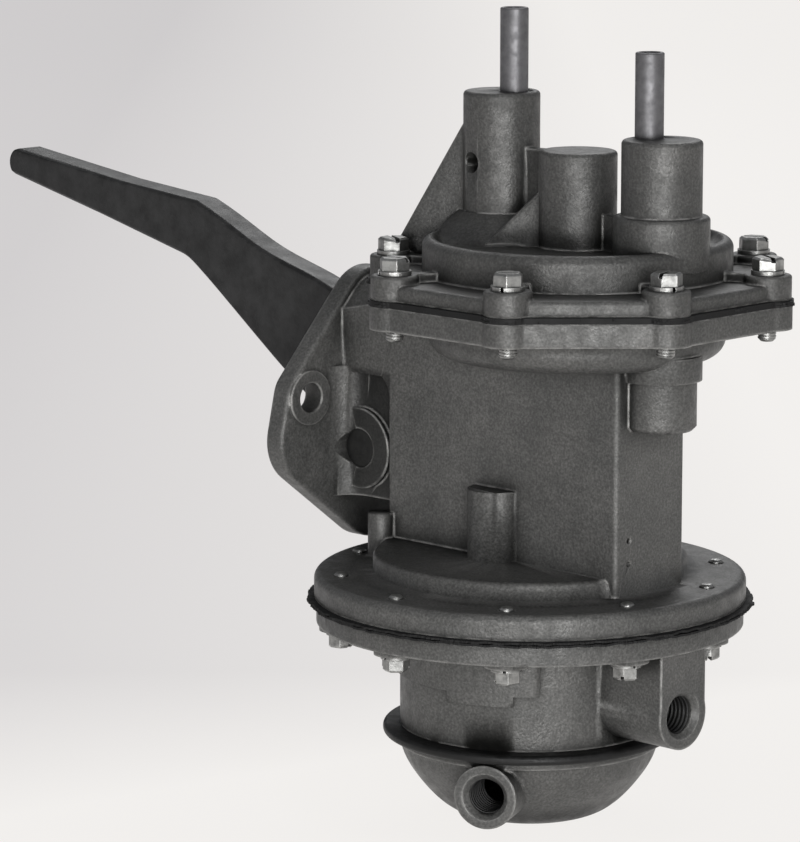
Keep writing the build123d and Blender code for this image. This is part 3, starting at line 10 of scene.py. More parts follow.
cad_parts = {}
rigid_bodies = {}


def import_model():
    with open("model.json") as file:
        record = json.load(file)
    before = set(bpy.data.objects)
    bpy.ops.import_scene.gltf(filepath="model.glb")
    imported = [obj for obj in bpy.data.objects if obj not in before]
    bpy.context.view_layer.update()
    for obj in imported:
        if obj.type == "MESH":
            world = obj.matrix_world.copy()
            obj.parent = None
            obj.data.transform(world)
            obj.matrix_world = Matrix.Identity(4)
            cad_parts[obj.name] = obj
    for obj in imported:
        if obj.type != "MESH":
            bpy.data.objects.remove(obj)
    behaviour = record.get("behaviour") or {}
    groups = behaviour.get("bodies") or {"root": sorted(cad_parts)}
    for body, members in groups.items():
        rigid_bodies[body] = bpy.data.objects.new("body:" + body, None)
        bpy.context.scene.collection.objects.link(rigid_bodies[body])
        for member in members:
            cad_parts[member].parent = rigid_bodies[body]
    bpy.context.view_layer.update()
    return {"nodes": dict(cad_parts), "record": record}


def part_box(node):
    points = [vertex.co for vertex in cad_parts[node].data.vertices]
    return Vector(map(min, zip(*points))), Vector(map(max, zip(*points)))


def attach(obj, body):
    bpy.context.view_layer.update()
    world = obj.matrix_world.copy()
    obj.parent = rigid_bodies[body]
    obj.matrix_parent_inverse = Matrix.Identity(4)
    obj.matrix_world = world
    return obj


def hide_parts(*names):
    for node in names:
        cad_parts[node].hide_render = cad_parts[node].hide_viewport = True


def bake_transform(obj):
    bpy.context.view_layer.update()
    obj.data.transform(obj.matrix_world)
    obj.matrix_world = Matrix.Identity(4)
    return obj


bl_info = {
    "name": "Fuel and vacuum pump",
    "version": (1, 0, 0),
    "blender": (4, 5, 0),
    "location": "3D View > Sidebar > Pump",
    "description": "Dresses the packed fuel pump in cast metal, steel, rubber, cloth and threads",
    "category": "Object",
}

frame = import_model()

# Lengths and places are in metres, on the frame's axes.

# Meshes: corners closer than this are welded, and edges steeper than this stay hard
SAME_POINT = 0.000002
HARD_EDGE = radians(20)

# Rays that the edge wear, the painted highlights and the painted shade look with
LOOK_SAMPLES = 6

# Plain shades: painted shade in pockets, in corners and round the rocker pin, then bare metal,
# brass and the sky
POCKET_SHADE = (0.016, 0.016, 0.0155)
CORNER_SHADE = (0.012, 0.012, 0.011)
PIN_POCKET_SHADE = (0.012, 0.012, 0.0115)
RUBBED_ARM = (0.11, 0.11, 0.108)
BRASS = (0.6, 0.42, 0.16)
SKY = (0.86, 0.87, 0.9, 1.0)

# Places between which the painted shade round the rocker pin fades out
PIN_SHADE_ASIDE = (0.013, 0.019)
PIN_SHADE_BEHIND = (0.007, 0.0115)
PIN_SHADE_AHEAD = (0.025, 0.0256)
PIN_SHADE_ABOVE = (0.007, 0.0085)
PIN_SHADE_BELOW = (-0.046, -0.04)

# Heights between which each diaphragm stretches: its clamped end and its moving end
STRETCH_BANDS = {"fuel_diaphragm": (-0.0540, -0.0576), "vacuum_diaphragm": (0.0353, 0.0301)}

# Cloth edges between the flanges: heights of the joints and the plies, reach inwards, and fraying
FUEL_JOINT_LOW, FUEL_JOINT_HIGH = -0.0538, -0.0524
FUEL_PLY_SPLIT, FUEL_PLY_GAP = -0.0531, 0.0001
VACUUM_JOINT_LOW, VACUUM_JOINT_HIGH = 0.0355, 0.0369
VACUUM_BOTTOM_PLY, VACUUM_TOP_PLY = 0.0006, 0.0008
CLOTH_DEPTH = 0.004
FUEL_FRAY, VACUUM_TOP_FRAY, VACUUM_BOTTOM_FRAY = 0.0009, 0.0016, 0.0015
FUEL_EDGE_TRIM = 0.0014
CLOTH_STEPS = 1440

# Waves of a frayed edge, as (share, fineness), and how far and how slowly the edge droops
FRAY_WAVES = ((0.55, 0.35), (0.35, 1.6), (0.25, 5.0))
EDGE_DROOP, DROOP_FINENESS = 0.0003, 0.5
NOISE_RADIUS = 40.0
DROOP_SHIFT = Vector((9.0, 0.0, 0.0))

# Tabs of cloth that stand out further: (turn round the axis, reach, half width as an angle)
FUEL_TABS = [(radians(33.0), 0.0012, radians(1.6)), (radians(253.0), 0.0006, radians(2.4))]
VACUUM_TABS = [(radians(19.0), 0.0009, radians(2.6)), (radians(2.0), 0.0012, radians(2.2))]

# Outline of the vacuum flange: its lugs, their circle, and how far its sides stand out
LUG_COUNT = 8
LUG_CIRCLE, LUG_RADIUS, SIDE_REACH = 0.055, 0.0072, 0.0055

# Threads
SCREW_RADIUS, SCREW_PITCH, SCREW_DEPTH = 0.0024, 0.0008, 0.0002
SCREW_THREAD_LENGTH, SCREW_TIP_LEFT = 0.0026, 0.0007
PORT_PITCH, PORT_DEPTH, PORT_PROUD = 0.00141, 0.0005, 0.0001
PORT_THREAD_START, PORT_THREAD_SHARE = 0.46, 0.93
THREAD_STEPS = 28

# Floor: half its side, the stretches over which its painted light grows, across the view and
# towards the camera, and how far it has lightened at the end of the second
FLOOR_REACH = 12.0
LIGHTER_ACROSS = (-0.2, 0.17)
LIGHTER_NEAR = (-0.12, 0.06)
NEAR_SHARE = 0.75

# Axes of the object, read from the frame
bowl_low, bowl_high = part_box("bowl_seal")
fuel_axis = Vector(((bowl_low.x + bowl_high.x) / 2, 0.0, 0.0))
spring_low, spring_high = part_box("vacuum_diaphragm_spring")
vacuum_axis = Vector(((spring_low.x + spring_high.x) / 2, 0.0, 0.0))
floor_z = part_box("inlet_bowl")[0].z


class PumpFinishes(PropertyGroup):
    """Colours and surface grain of the pump's metals and rubber."""

    cast_dark: FloatVectorProperty(
        name="Cast metal, dark",
        description="Shade of the casting in its darker blotches",
        subtype="COLOR",
        size=3,
        min=0.0,
        max=1.0,
        default=(0.082, 0.082, 0.079),
    )
    cast_light: FloatVectorProperty(
        name="Cast metal, light",
        description="Shade of the casting in its lighter blotches",
        subtype="COLOR",
        size=3,
        min=0.0,
        max=1.0,
        default=(0.124, 0.122, 0.117),
    )
    cast_grain: FloatProperty(
        name="Cast grain",
        description="Size of one grain of the blasted casting",
        subtype="DISTANCE",
        unit="LENGTH",
        default=0.0007,
    )
    # Bare metal of the rubbed edges, which also paints a highlight along the castings' edges
    edge_wear_and_highlight: FloatVectorProperty(
        name="Worn edges",
        description="Shade of the bare metal on rubbed edges of the castings",
        subtype="COLOR",
        size=3,
        min=0.0,
        max=1.0,
        default=(0.4, 0.395, 0.38),
    )
    edge_width: FloatProperty(
        name="Edge width",
        description="Width of the rounding and wear on the castings' edges",
        subtype="DISTANCE",
        unit="LENGTH",
        default=0.0013,
    )
    arm_colour: FloatVectorProperty(
        name="Arm steel",
        description="Shade of the oily forged rocker arm",
        subtype="COLOR",
        size=3,
        min=0.0,
        max=1.0,
        default=(0.03, 0.03, 0.03),
    )
    tube_colour: FloatVectorProperty(
        name="Tube steel",
        description="Shade of the drawn steel tubes",
        subtype="COLOR",
        size=3,
        min=0.0,
        max=1.0,
        default=(0.155, 0.153, 0.159),
    )
    zinc_colour: FloatVectorProperty(
        name="Zinc plating",
        description="Shade of the plated screws and washers",
        subtype="COLOR",
        size=3,
        min=0.0,
        max=1.0,
        default=(0.36, 0.36, 0.35),
    )
    oily_colour: FloatVectorProperty(
        name="Oily steel",
        description="Shade of the pins, rods and plates that run in oil",
        subtype="COLOR",
        size=3,
        min=0.0,
        max=1.0,
        default=(0.035, 0.035, 0.034),
    )
    rubber_colour: FloatVectorProperty(
        name="Rubber",
        description="Shade of the diaphragm edges and the bowl seal",
        subtype="COLOR",
        size=3,
        min=0.0,
        max=1.0,
        default=(0.005, 0.005, 0.005),
    )


class PumpStage(PropertyGroup):
    """Camera, floor and lamps."""

    camera_azimuth: FloatProperty(
        name="Camera azimuth",
        description="Turn of the camera round the pump",
        subtype="ANGLE",
        default=radians(44.428),
    )
    camera_pitch: FloatProperty(
        name="Camera pitch",
        description="Tilt of the camera below level",
        subtype="ANGLE",
        default=radians(10.076),
    )
    camera_place: FloatVectorProperty(
        name="Camera place",
        description="Where the camera stands, from the mounting face",
        subtype="TRANSLATION",
        size=3,
        default=(0.86465, -0.86632, 0.20641),
    )
    camera_lens: FloatProperty(
        name="Lens",
        description="Focal length for a 36 mm wide sensor",
        unit="CAMERA",
        default=190.89,
    )
    floor_colour: FloatVectorProperty(
        name="Floor",
        description="Shade of the pale paper floor",
        subtype="COLOR",
        size=3,
        min=0.0,
        max=1.0,
        default=(0.82, 0.81, 0.8),
    )
    # Painted shade on the floor at the left
    paper_painted_shade: FloatVectorProperty(
        name="Background, left",
        description="Shade of the background at the left",
        subtype="COLOR",
        size=3,
        min=0.0,
        max=1.0,
        default=(0.655, 0.637, 0.642),
    )
    # Painted light on the floor at the right and near the camera
    paper_painted_light: FloatVectorProperty(
        name="Background, right",
        description="Shade of the background at the right and near the camera",
        subtype="COLOR",
        size=3,
        min=0.0,
        max=1.0,
        default=(0.92, 0.9, 0.88),
    )
    paper_glow: FloatProperty(
        name="Background share",
        description="How much of the floor's look is its own shade and not the lamps'",
        subtype="FACTOR",
        min=0.0,
        max=1.0,
        default=0.93,
    )
    key_power: FloatProperty(
        name="Key lamp",
        description="Power of the lamp at the right",
        default=14.0,
    )
    top_power: FloatProperty(
        name="Top lamp",
        description="Power of the weak lamp above",
        default=3.4,
    )
    low_power: FloatProperty(
        name="Low lamp",
        description="Power of the wide lamp near the floor",
        default=6.0,
    )
    back_power: FloatProperty(
        name="Back lamp",
        description="Power of the broad lamp behind the pump",
        default=11.0,
    )
    sky_strength: FloatProperty(
        name="Room light",
        description="Strength of the even light from all round",
        default=0.28,
    )


def finishes():
    """Return the finishes that the panel shows."""
    return bpy.context.scene.pump_finishes


def blank_material(name):
    """Return a new material with its node tree and its surface shader."""
    material = bpy.data.materials.new(name)
    material.use_nodes = True
    tree = material.node_tree
    shader = tree.nodes["Principled BSDF"]
    return material, tree, shader


def add_node(tree, kind, **values):
    """Add a shader node and set its plain values, by attribute or by input name."""
    node = tree.nodes.new(kind)
    for key, value in values.items():
        if key in node.inputs:
            node.inputs[key].default_value = value
        else:
            setattr(node, key, value)
    return node


def object_noise(tree, size, detail=3.0, roughness=0.55):
    """Add noise of a given grain size, in metres, on the object's own coordinates."""
    coordinates = add_node(tree, "ShaderNodeTexCoord")
    texture = add_node(tree, "ShaderNodeTexNoise", Scale=1.0 / size, Detail=detail)
    texture.inputs["Roughness"].default_value = roughness
    tree.links.new(coordinates.outputs["Object"], texture.inputs["Vector"])
    return texture.outputs["Fac"]


def colour_ramp(tree, source, stops):
    """Add a ramp through (position, colour) stops and return its colour output."""
    ramp = add_node(tree, "ShaderNodeValToRGB")
    elements = ramp.color_ramp.elements
    while len(elements) < len(stops):
        elements.new(0.5)
    for element, (position, colour) in zip(elements, stops):
        element.position = position
        element.color = (*colour, 1.0)
    tree.links.new(source, ramp.inputs["Fac"])
    return ramp.outputs["Color"]


def value_range(tree, source, low, high, start=0.3, end=0.7):
    """Map a source that runs from start to end onto the values from low to high."""
    mapped = add_node(tree, "ShaderNodeMapRange")
    mapped.inputs["From Min"].default_value = start
    mapped.inputs["From Max"].default_value = end
    mapped.inputs["To Min"].default_value = low
    mapped.inputs["To Max"].default_value = high
    tree.links.new(source, mapped.inputs["Value"])
    return mapped.outputs["Result"]


def stack_bumps(tree, shader, layers, normal=None):
    """Chain bumps of (height source, depth in metres, strength) into the shader's normal."""
    for source, depth, strength in layers:
        bump = add_node(tree, "ShaderNodeBump", Distance=depth, Strength=strength)
        tree.links.new(source, bump.inputs["Height"])
        if normal is not None:
            tree.links.new(normal, bump.inputs["Normal"])
        normal = bump.outputs["Normal"]
    tree.links.new(normal, shader.inputs["Normal"])


def mix_colours(tree, factor, first, second, blend_type="MIX"):
    """Mix two colour outputs by a factor output or a number."""
    mix = add_node(tree, "ShaderNodeMix", data_type="RGBA", blend_type=blend_type)
    if isinstance(factor, float):
        mix.inputs["Factor"].default_value = factor
    else:
        tree.links.new(factor, mix.inputs["Factor"])
    tree.links.new(first, mix.inputs["A"])
    tree.links.new(second, mix.inputs["B"])
    return mix.outputs["Result"]


def edge_wear(tree, width, start, end):
    """Return a mask that is 1 on edges, and the rounded normal that it comes from."""
    rounded = tree.nodes.new("ShaderNodeBevel")
    rounded.samples = LOOK_SAMPLES
    rounded.inputs["Radius"].default_value = width
    geometry = add_node(tree, "ShaderNodeNewGeometry")
    agreement = add_node(tree, "ShaderNodeVectorMath", operation="DOT_PRODUCT")
    tree.links.new(rounded.outputs["Normal"], agreement.inputs[0])
    tree.links.new(geometry.outputs["Normal"], agreement.inputs[1])
    mask = value_range(tree, agreement.outputs["Value"], 0.0, 1.0, start, end)
    return mask, rounded.outputs["Normal"]


def hollow_shade(tree, reach, start, end, own_hollows=False):
    """Return a mask for painted shade: 1 in hollows and corners, and 0 on open faces."""
    openness = tree.nodes.new("ShaderNodeAmbientOcclusion")
    openness.samples = LOOK_SAMPLES
    openness.only_local = own_hollows
    openness.inputs["Distance"].default_value = reach
    return value_range(tree, openness.outputs["AO"], 1.0, 0.0, start, end)


def object_place(tree):
    """Return the X, Y and Z outputs of the object's own coordinates."""
    coordinates = add_node(tree, "ShaderNodeTexCoord")
    place = add_node(tree, "ShaderNodeSeparateXYZ")
    tree.links.new(coordinates.outputs["Object"], place.inputs["Vector"])
    return place.outputs["X"], place.outputs["Y"], place.outputs["Z"]


def multiply(tree, first, second):
    """Multiply two values."""
    product = add_node(tree, "ShaderNodeMath", operation="MULTIPLY")
    tree.links.new(first, product.inputs[0])
    tree.links.new(second, product.inputs[1])
    return product.outputs["Value"]


def plain_colour(tree, colour):
    """Return a colour output of one shade."""
    shade = tree.nodes.new("ShaderNodeRGB")
    shade.outputs["Color"].default_value = (*colour, 1.0)
    return shade.outputs["Color"]


def pin_pocket_shade(tree, blotches):
    """Return a mask that is 1 in the two pockets beside the rocker pin, where the casting gets
    painted shade.
    """
    along, across, up = object_place(tree)
    aside = add_node(tree, "ShaderNodeMath", operation="ABSOLUTE")
    tree.links.new(across, aside.inputs[0])
    mask = value_range(tree, blotches, 0.65, 0.95)
    for source, low, high, start, end in (
        (aside.outputs["Value"], 1.0, 0.0, *PIN_SHADE_ASIDE),
        (along, 0.0, 1.0, *PIN_SHADE_BEHIND),
        (along, 1.0, 0.0, *PIN_SHADE_AHEAD),
        (up, 1.0, 0.0, *PIN_SHADE_ABOVE),
        (up, 0.0, 1.0, *PIN_SHADE_BELOW),
    ):
        mask = multiply(tree, mask, value_range(tree, source, low, high, start, end))
    return mask


def cast_metal():
    """Dull blasted casting with a fine grain and blotches, painted shade in its hollows, corners
    and rocker-pin pockets and towards the top, and rubbed edges with a painted highlight.
    """
    tones = finishes()
    material, tree, shader = blank_material("cast_metal")
    blotches = object_noise(tree, size=0.022, detail=6.0, roughness=0.66)
    grain = object_noise(tree, size=tones.cast_grain, detail=2.0, roughness=0.6)
    skin = object_noise(tree, size=0.004)
    base = colour_ramp(tree, blotches, [(0.3, tones.cast_dark), (0.7, tones.cast_light)])
    fleck_stops = [(0.34, (0.7, 0.7, 0.7)), (0.52, (1.0, 1.0, 1.0)), (0.7, (1.38, 1.38, 1.38))]
    flecked = mix_colours(tree, 1.0, base, colour_ramp(tree, grain, fleck_stops), "MULTIPLY")
    # Painted shade: the casting gets darker from 5 mm to 50 mm up, and stays so above
    _, _, up = object_place(tree)
    top_shade = value_range(tree, up, low=1.0, high=0.76, start=0.005, end=0.05)
    grained = mix_colours(tree, 1.0, flecked, top_shade, "MULTIPLY")
    # Painted shade in the casting's hollows and pockets
    pocket_shade_mask = hollow_shade(tree, reach=0.03, start=0.15, end=0.5, own_hollows=True)
    shaded = mix_colours(tree, pocket_shade_mask, grained, plain_colour(tree, POCKET_SHADE))
    # Painted shade in the casting's tight corners
    corners = hollow_shade(tree, reach=0.009, start=0.42, end=0.88)
    corner_shaded = mix_colours(tree, corners, shaded, plain_colour(tree, CORNER_SHADE))
    # Painted shade in the pockets round the rocker pin
    pin_shaded = mix_colours(tree, pin_pocket_shade(tree, blotches), corner_shaded, plain_colour(tree, PIN_POCKET_SHADE))
    # Rubbed edges in bare metal, which also paint a highlight along the edges
    edges, rounded = edge_wear(tree, tones.edge_width, start=0.98, end=0.84)
    rub = value_range(tree, skin, low=0.25, high=1.0, start=0.36, end=0.58)
    bare = plain_colour(tree, tones.edge_wear_and_highlight)
    worn = mix_colours(tree, multiply(tree, edges, rub), pin_shaded, bare)
    tree.links.new(worn, shader.inputs["Base Color"])
    tree.links.new(value_range(tree, skin, 0.37, 0.58), shader.inputs["Roughness"])
    shader.inputs["Metallic"].default_value = 0.35
    stack_bumps(tree, shader, [(skin, 0.0005, 0.45), (grain, 0.00014, 0.75)], rounded)
    return material


def arm_steel():
    """Forged arm, black and oily, with a rough skin and rubbed edges."""
    material, tree, shader = blank_material("dark_steel")
    scale = object_noise(tree, size=0.006, detail=6.0, roughness=0.65)
    fine = object_noise(tree, size=0.0006, detail=2.0)
    dark = tuple(0.6 * value for value in finishes().arm_colour)
    light = tuple(1.6 * value for value in finishes().arm_colour)
    base = colour_ramp(tree, scale, [(0.35, dark), (0.7, light)])
    edges, rounded = edge_wear(tree, width=0.0009, start=0.99, end=0.8)
    rub = value_range(tree, scale, low=0.0, high=0.7, start=0.4, end=0.62)
    bare = plain_colour(tree, RUBBED_ARM)
    worn = mix_colours(tree, multiply(tree, edges, rub), base, bare)
    tree.links.new(worn, shader.inputs["Base Color"])
    tree.links.new(value_range(tree, scale, 0.4, 0.6), shader.inputs["Roughness"])
    shader.inputs["Metallic"].default_value = 0.45
    stack_bumps(tree, shader, [(scale, 0.0004, 0.5), (fine, 0.00008, 0.6)], rounded)
    return material


def drawn_steel(name, colour, smoothest, roughest, dulling=0.55, metallic=0.9):
    """Steel with soft patches, fine grain, rubbed edges with a painted highlight, and painted
    shade in its corners.
    """
    material, tree, shader = blank_material(name)
    patches = object_noise(tree, size=0.0026, detail=4.0, roughness=0.62)
    fine = object_noise(tree, size=0.0004, detail=2.0)
    dull = tuple(dulling * value for value in colour)
    base = colour_ramp(tree, patches, [(0.32, dull), (0.6, tuple(colour))])
    # Painted shade in the corners
    steel_corner_shade_mask = hollow_shade(tree, reach=0.003, start=0.3, end=0.8)
    edges, rounded = edge_wear(tree, width=0.0003, start=0.99, end=0.8)
    steel_corner_shade_colour = plain_colour(tree, tuple(0.06 * value for value in colour))
    steel_corner_shaded = mix_colours(tree, steel_corner_shade_mask, base, steel_corner_shade_colour)
    # Rubbed edges, painted brighter as a highlight
    bright = plain_colour(tree, tuple(min(1.0, 1.7 * value) for value in colour))
    tree.links.new(mix_colours(tree, edges, steel_corner_shaded, bright), shader.inputs["Base Color"])
    roughness = value_range(tree, patches, low=roughest, high=smoothest)
    tree.links.new(roughness, shader.inputs["Roughness"])
    shader.inputs["Metallic"].default_value = metallic
    stack_bumps(tree, shader, [(patches, 0.00015, 0.45), (fine, 0.00004, 0.5)], rounded)
    return material


def black_rubber(name, smoothest):
    """Dull black rubber with a little bloom."""
    material, tree, shader = blank_material(name)
    bloom = object_noise(tree, size=0.004, detail=4.0, roughness=0.6)
    fine = object_noise(tree, size=0.0005, detail=2.0)
    dark = tuple(finishes().rubber_colour)
    pale = tuple(2.6 * value for value in dark)
    base = colour_ramp(tree, bloom, [(0.4, dark), (0.75, pale)])
    tree.links.new(base, shader.inputs["Base Color"])
    roughness = value_range(tree, bloom, low=smoothest, high=smoothest + 0.2)
    tree.links.new(roughness, shader.inputs["Roughness"])
    shader.inputs["Specular IOR Level"].default_value = 0.3
    stack_bumps(tree, shader, [(bloom, 0.0003, 0.4), (fine, 0.00005, 0.5)])
    return material


def slot_finish(slot):
    """Build the finish of a record slot."""
    tones = finishes()
    # Colour, lowest and highest roughness, and at times how dull the patches are and how metallic
    steels = {
        "plain_steel": (tones.oily_colour, 0.35, 0.55, 0.6, 0.5),
        "tube_steel": (tones.tube_colour, 0.4, 0.56, 0.75, 0.6),
        "zinc_steel": (tones.zinc_colour, 0.28, 0.46),
        "spring_steel": (tones.zinc_colour, 0.25, 0.4),
        "brass": (BRASS, 0.25, 0.45),
    }
    # Lowest roughness
    rubbers = {"diaphragm_fabric": 0.6, "black_rubber": 0.4, "valve_rubber": 0.5}
    if slot in steels:
        return drawn_steel(slot, *steels[slot])
    if slot in rubbers:
        return black_rubber(slot, rubbers[slot])
    return {"cast_metal": cast_metal, "dark_steel": arm_steel}[slot]()


def slot_material(slot):
    """Return the material of a record slot, made once."""
    found = bpy.data.materials.get("finish_" + slot)
    if found is None:
        found = slot_finish(slot)
        found.name = "finish_" + slot
    return found


def slot_of(node):
    """Return the record's material slot of a CAD node."""
    for row in frame["record"]["subparts"]:
        if row["node"] == node:
            return row["material_slot"]
    raise ValueError(f"no material slot for {node}")


def body_of(node):
    """Return the body that a CAD node belongs to."""
    for body, members in frame["record"]["behaviour"]["bodies"].items():
        if node in members:
            return body
    raise ValueError(f"no body for {node}")


def dress(piece, slot):
    """Give a piece one material and name its slot."""
    piece.data.materials.clear()
    piece.data.materials.append(slot_material(slot))


def new_object(name, data):
    """Link a new object that holds a mesh, a lamp or a camera."""
    made = bpy.data.objects.new(name, data)
    bpy.context.scene.collection.objects.link(made)
    return made


def settle(piece):
    """Turn a piece's live modifiers into a plain mesh."""
    bpy.context.view_layer.update()
    evaluated = piece.evaluated_get(bpy.context.evaluated_depsgraph_get())
    mesh = bpy.data.meshes.new_from_object(evaluated)
    piece.modifiers.clear()
    piece.data = mesh


def merged_copy(node, name):
    """Return a welded copy of a CAD node's mesh with soft shading between its hard edges."""
    source = frame["nodes"][node]
    mesh = source.data.copy()
    mesh.name = name
    work = bmesh.new()
    work.from_mesh(mesh)
    bmesh.ops.remove_doubles(work, verts=work.verts, dist=SAME_POINT)
    bmesh.ops.recalc_face_normals(work, faces=work.faces)
    work.to_mesh(mesh)
    work.free()
    mesh.shade_smooth()
    mesh.set_sharp_from_angle(angle=HARD_EDGE)
    piece = new_object(name, mesh)
    even = piece.modifiers.new("even_normals", "WEIGHTED_NORMAL")
    even.keep_sharp = True
    even.weight = 100
    settle(piece)
    return piece


def skin_node(node, name):
    """Stand a soft-shaded copy in for a CAD node, on the same body and in the same finish."""
    piece = merged_copy(node, name)
    dress(piece, slot_of(node))
    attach(piece, body_of(node))
    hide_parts(node)


def stretched_nodes():
    """Return (node, parent, child, height of its fixed end) for each node that stretches."""
    found = []
    for joint in frame["record"]["behaviour"]["joints"]:
        for row in joint.get("deforming_nodes", []):
            bodies = (joint["parent"], joint["child"])
            found.append((row["node"], *bodies, row["fixed_end_z_m"]))
    return found


def stretch_node(node, parent, child, fixed_z, moving_z):
    """Stand a copy in for a spring or diaphragm that one body holds and another moves."""
    piece = merged_copy(node, node + "_skin")
    dress(piece, slot_of(node))
    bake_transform(piece)
    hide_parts(node)
    return piece


def pull_in(piece, axis, limit):
    """Move what stands out past a radius back to it, so that a cloth edge can take its place."""
    for vertex in piece.data.vertices:
        out = vertex.co - axis
        out.z = 0.0
        if out.length > limit:
            vertex.co += out * (limit / out.length - 1.0)


def separate_solids(node):
    """Return the lowest and highest corner of each solid in a CAD node, in a fixed order."""
    work = bmesh.new()
    work.from_mesh(frame["nodes"][node].data)
    bmesh.ops.remove_doubles(work, verts=work.verts, dist=SAME_POINT)
    left = set(work.verts)
    found = []
    while left:
        reached = [left.pop()]
        low, high = reached[0].co.copy(), reached[0].co.copy()
        while reached:
            vertex = reached.pop()
            low = Vector(map(min, low, vertex.co))
            high = Vector(map(max, high, vertex.co))
            for edge in vertex.link_edges:
                other = edge.other_vert(vertex)
                if other in left:
                    left.discard(other)
                    reached.append(other)
        found.append((low, high))
    work.free()
    return sorted(found, key=lambda pair: (round(pair[0].x, 5), round(pair[0].y, 5)))


def link_nodes(tree, *pairs):
    """Link (output socket, input socket) pairs of a node tree."""
    for source, target in pairs:
        tree.links.new(source, target)


def thread_tree():
    """Build the node tree that winds one thread at every vertex of the object it is on."""
    tree = bpy.data.node_groups.new("wound_threads", "GeometryNodeTree")
    tree.is_modifier = True
    tree.interface.new_socket("Geometry", in_out="INPUT", socket_type="NodeSocketGeometry")
    for name in ("Radius", "Pitch", "Turns", "Depth"):
        tree.interface.new_socket(name, in_out="INPUT", socket_type="NodeSocketFloat")
    tree.interface.new_socket("Turn", in_out="INPUT", socket_type="NodeSocketVector")
    tree.interface.new_socket("Finish", in_out="INPUT", socket_type="NodeSocketMaterial")
    tree.interface.new_socket("Geometry", in_out="OUTPUT", socket_type="NodeSocketGeometry")
    start = tree.nodes.new("NodeGroupInput")
    end = tree.nodes.new("NodeGroupOutput")
    height = tree.nodes.new("ShaderNodeMath")
    height.operation = "MULTIPLY"
    spiral = tree.nodes.new("GeometryNodeCurveSpiral")
    spiral.inputs["Resolution"].default_value = THREAD_STEPS
    profile = tree.nodes.new("GeometryNodeCurvePrimitiveCircle")
    profile.inputs["Resolution"].default_value = 4
    sweep = tree.nodes.new("GeometryNodeCurveToMesh")
    sweep.inputs["Fill Caps"].default_value = True
    spread = tree.nodes.new("GeometryNodeInstanceOnPoints")
    realize = tree.nodes.new("GeometryNodeRealizeInstances")
    finish = tree.nodes.new("GeometryNodeSetMaterial")
    link_nodes(
        tree,
        (start.outputs["Pitch"], height.inputs[0]),
        (start.outputs["Turns"], height.inputs[1]),
        (start.outputs["Turns"], spiral.inputs["Rotations"]),
        (start.outputs["Radius"], spiral.inputs["Start Radius"]),
        (start.outputs["Radius"], spiral.inputs["End Radius"]),
        (height.outputs["Value"], spiral.inputs["Height"]),
        (start.outputs["Depth"], profile.inputs["Radius"]),
        (spiral.outputs["Curve"], sweep.inputs["Curve"]),
        (profile.outputs["Curve"], sweep.inputs["Profile Curve"]),
        (start.outputs["Geometry"], spread.inputs["Points"]),
        (sweep.outputs["Mesh"], spread.inputs["Instance"]),
        (start.outputs["Turn"], spread.inputs["Rotation"]),
        (spread.outputs["Instances"], realize.inputs["Geometry"]),
        (realize.outputs["Geometry"], finish.inputs["Geometry"]),
        (start.outputs["Finish"], finish.inputs["Material"]),
        (finish.outputs["Geometry"], end.inputs["Geometry"]),
    )
    return tree


def wind_threads(name, places, slot, radius, pitch, length, depth, turn=(0.0, 0.0, 0.0)):
    """Wind a thread up from each place, as one piece on the housing."""
    mesh = bpy.data.meshes.new(name)
    mesh.from_pydata([tuple(place) for place in places], [], [])
    piece = new_object(name, mesh)
    tree = bpy.data.node_groups.get("wound_threads") or thread_tree()
    threads = piece.modifiers.new("threads", "NODES")
    threads.node_group = tree
    values = {
        "Radius": radius,
        "Pitch": pitch,
        "Turns": length / pitch,
        "Depth": depth,
        "Turn": turn,
        "Finish": slot_material(slot),
    }
    for item in tree.interface.items_tree:
        if item.in_out == "INPUT" and item.name in values:
            threads[item.identifier] = values[item.name]
    settle(piece)
    dress(piece, slot)
    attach(piece, "housing")


def port_thread(name):
    """Wind the pipe thread into a port, from the record's mount of that name."""
    mount = next(row for row in frame["record"]["mounts"] if row["name"] == name)
    axis = Vector(mount["axis"]).normalized()
    radius = mount["dims"]["r_mm"] / 1000
    length = mount["dims"]["length_mm"] / 1000
    start = Vector(mount["pos_m"]) - axis * (PORT_THREAD_START * length)
    wind_threads(
        name + "_thread",
        [start],
        slot="dark_steel",
        radius=radius + PORT_PROUD,
        pitch=PORT_PITCH,
        length=PORT_THREAD_SHARE * length,
        depth=PORT_DEPTH,
        turn=tuple(axis.to_track_quat("Z", "Y").to_euler()),
    )


def round_edge(radius):
    """Return a round outline, as a function from a turn to a reach."""
    return lambda turn: radius


def lugged_edge(circle, lug, straight):
    """Return the outline of the lugged flange, as a function from a turn to a reach."""
    step = 2 * pi / LUG_COUNT
    first = step / 2

    def reach(turn):
        best = 0.0
        for number in range(LUG_COUNT):
            aside = turn - (first + number * step)
            across = circle * sin(aside)
            if cos(aside) > 0 and abs(across) < lug:
                best = max(best, circle * cos(aside) + (lug * lug - across * across) ** 0.5)
            aside = turn - (first + (number + 0.5) * step)
            if cos(aside) > 0.5:
                far = (circle * cos(step / 2) + straight) / cos(aside)
                if abs(far * sin(aside)) <= circle * sin(step / 2):
                    best = max(best, far)
        return best

    return reach


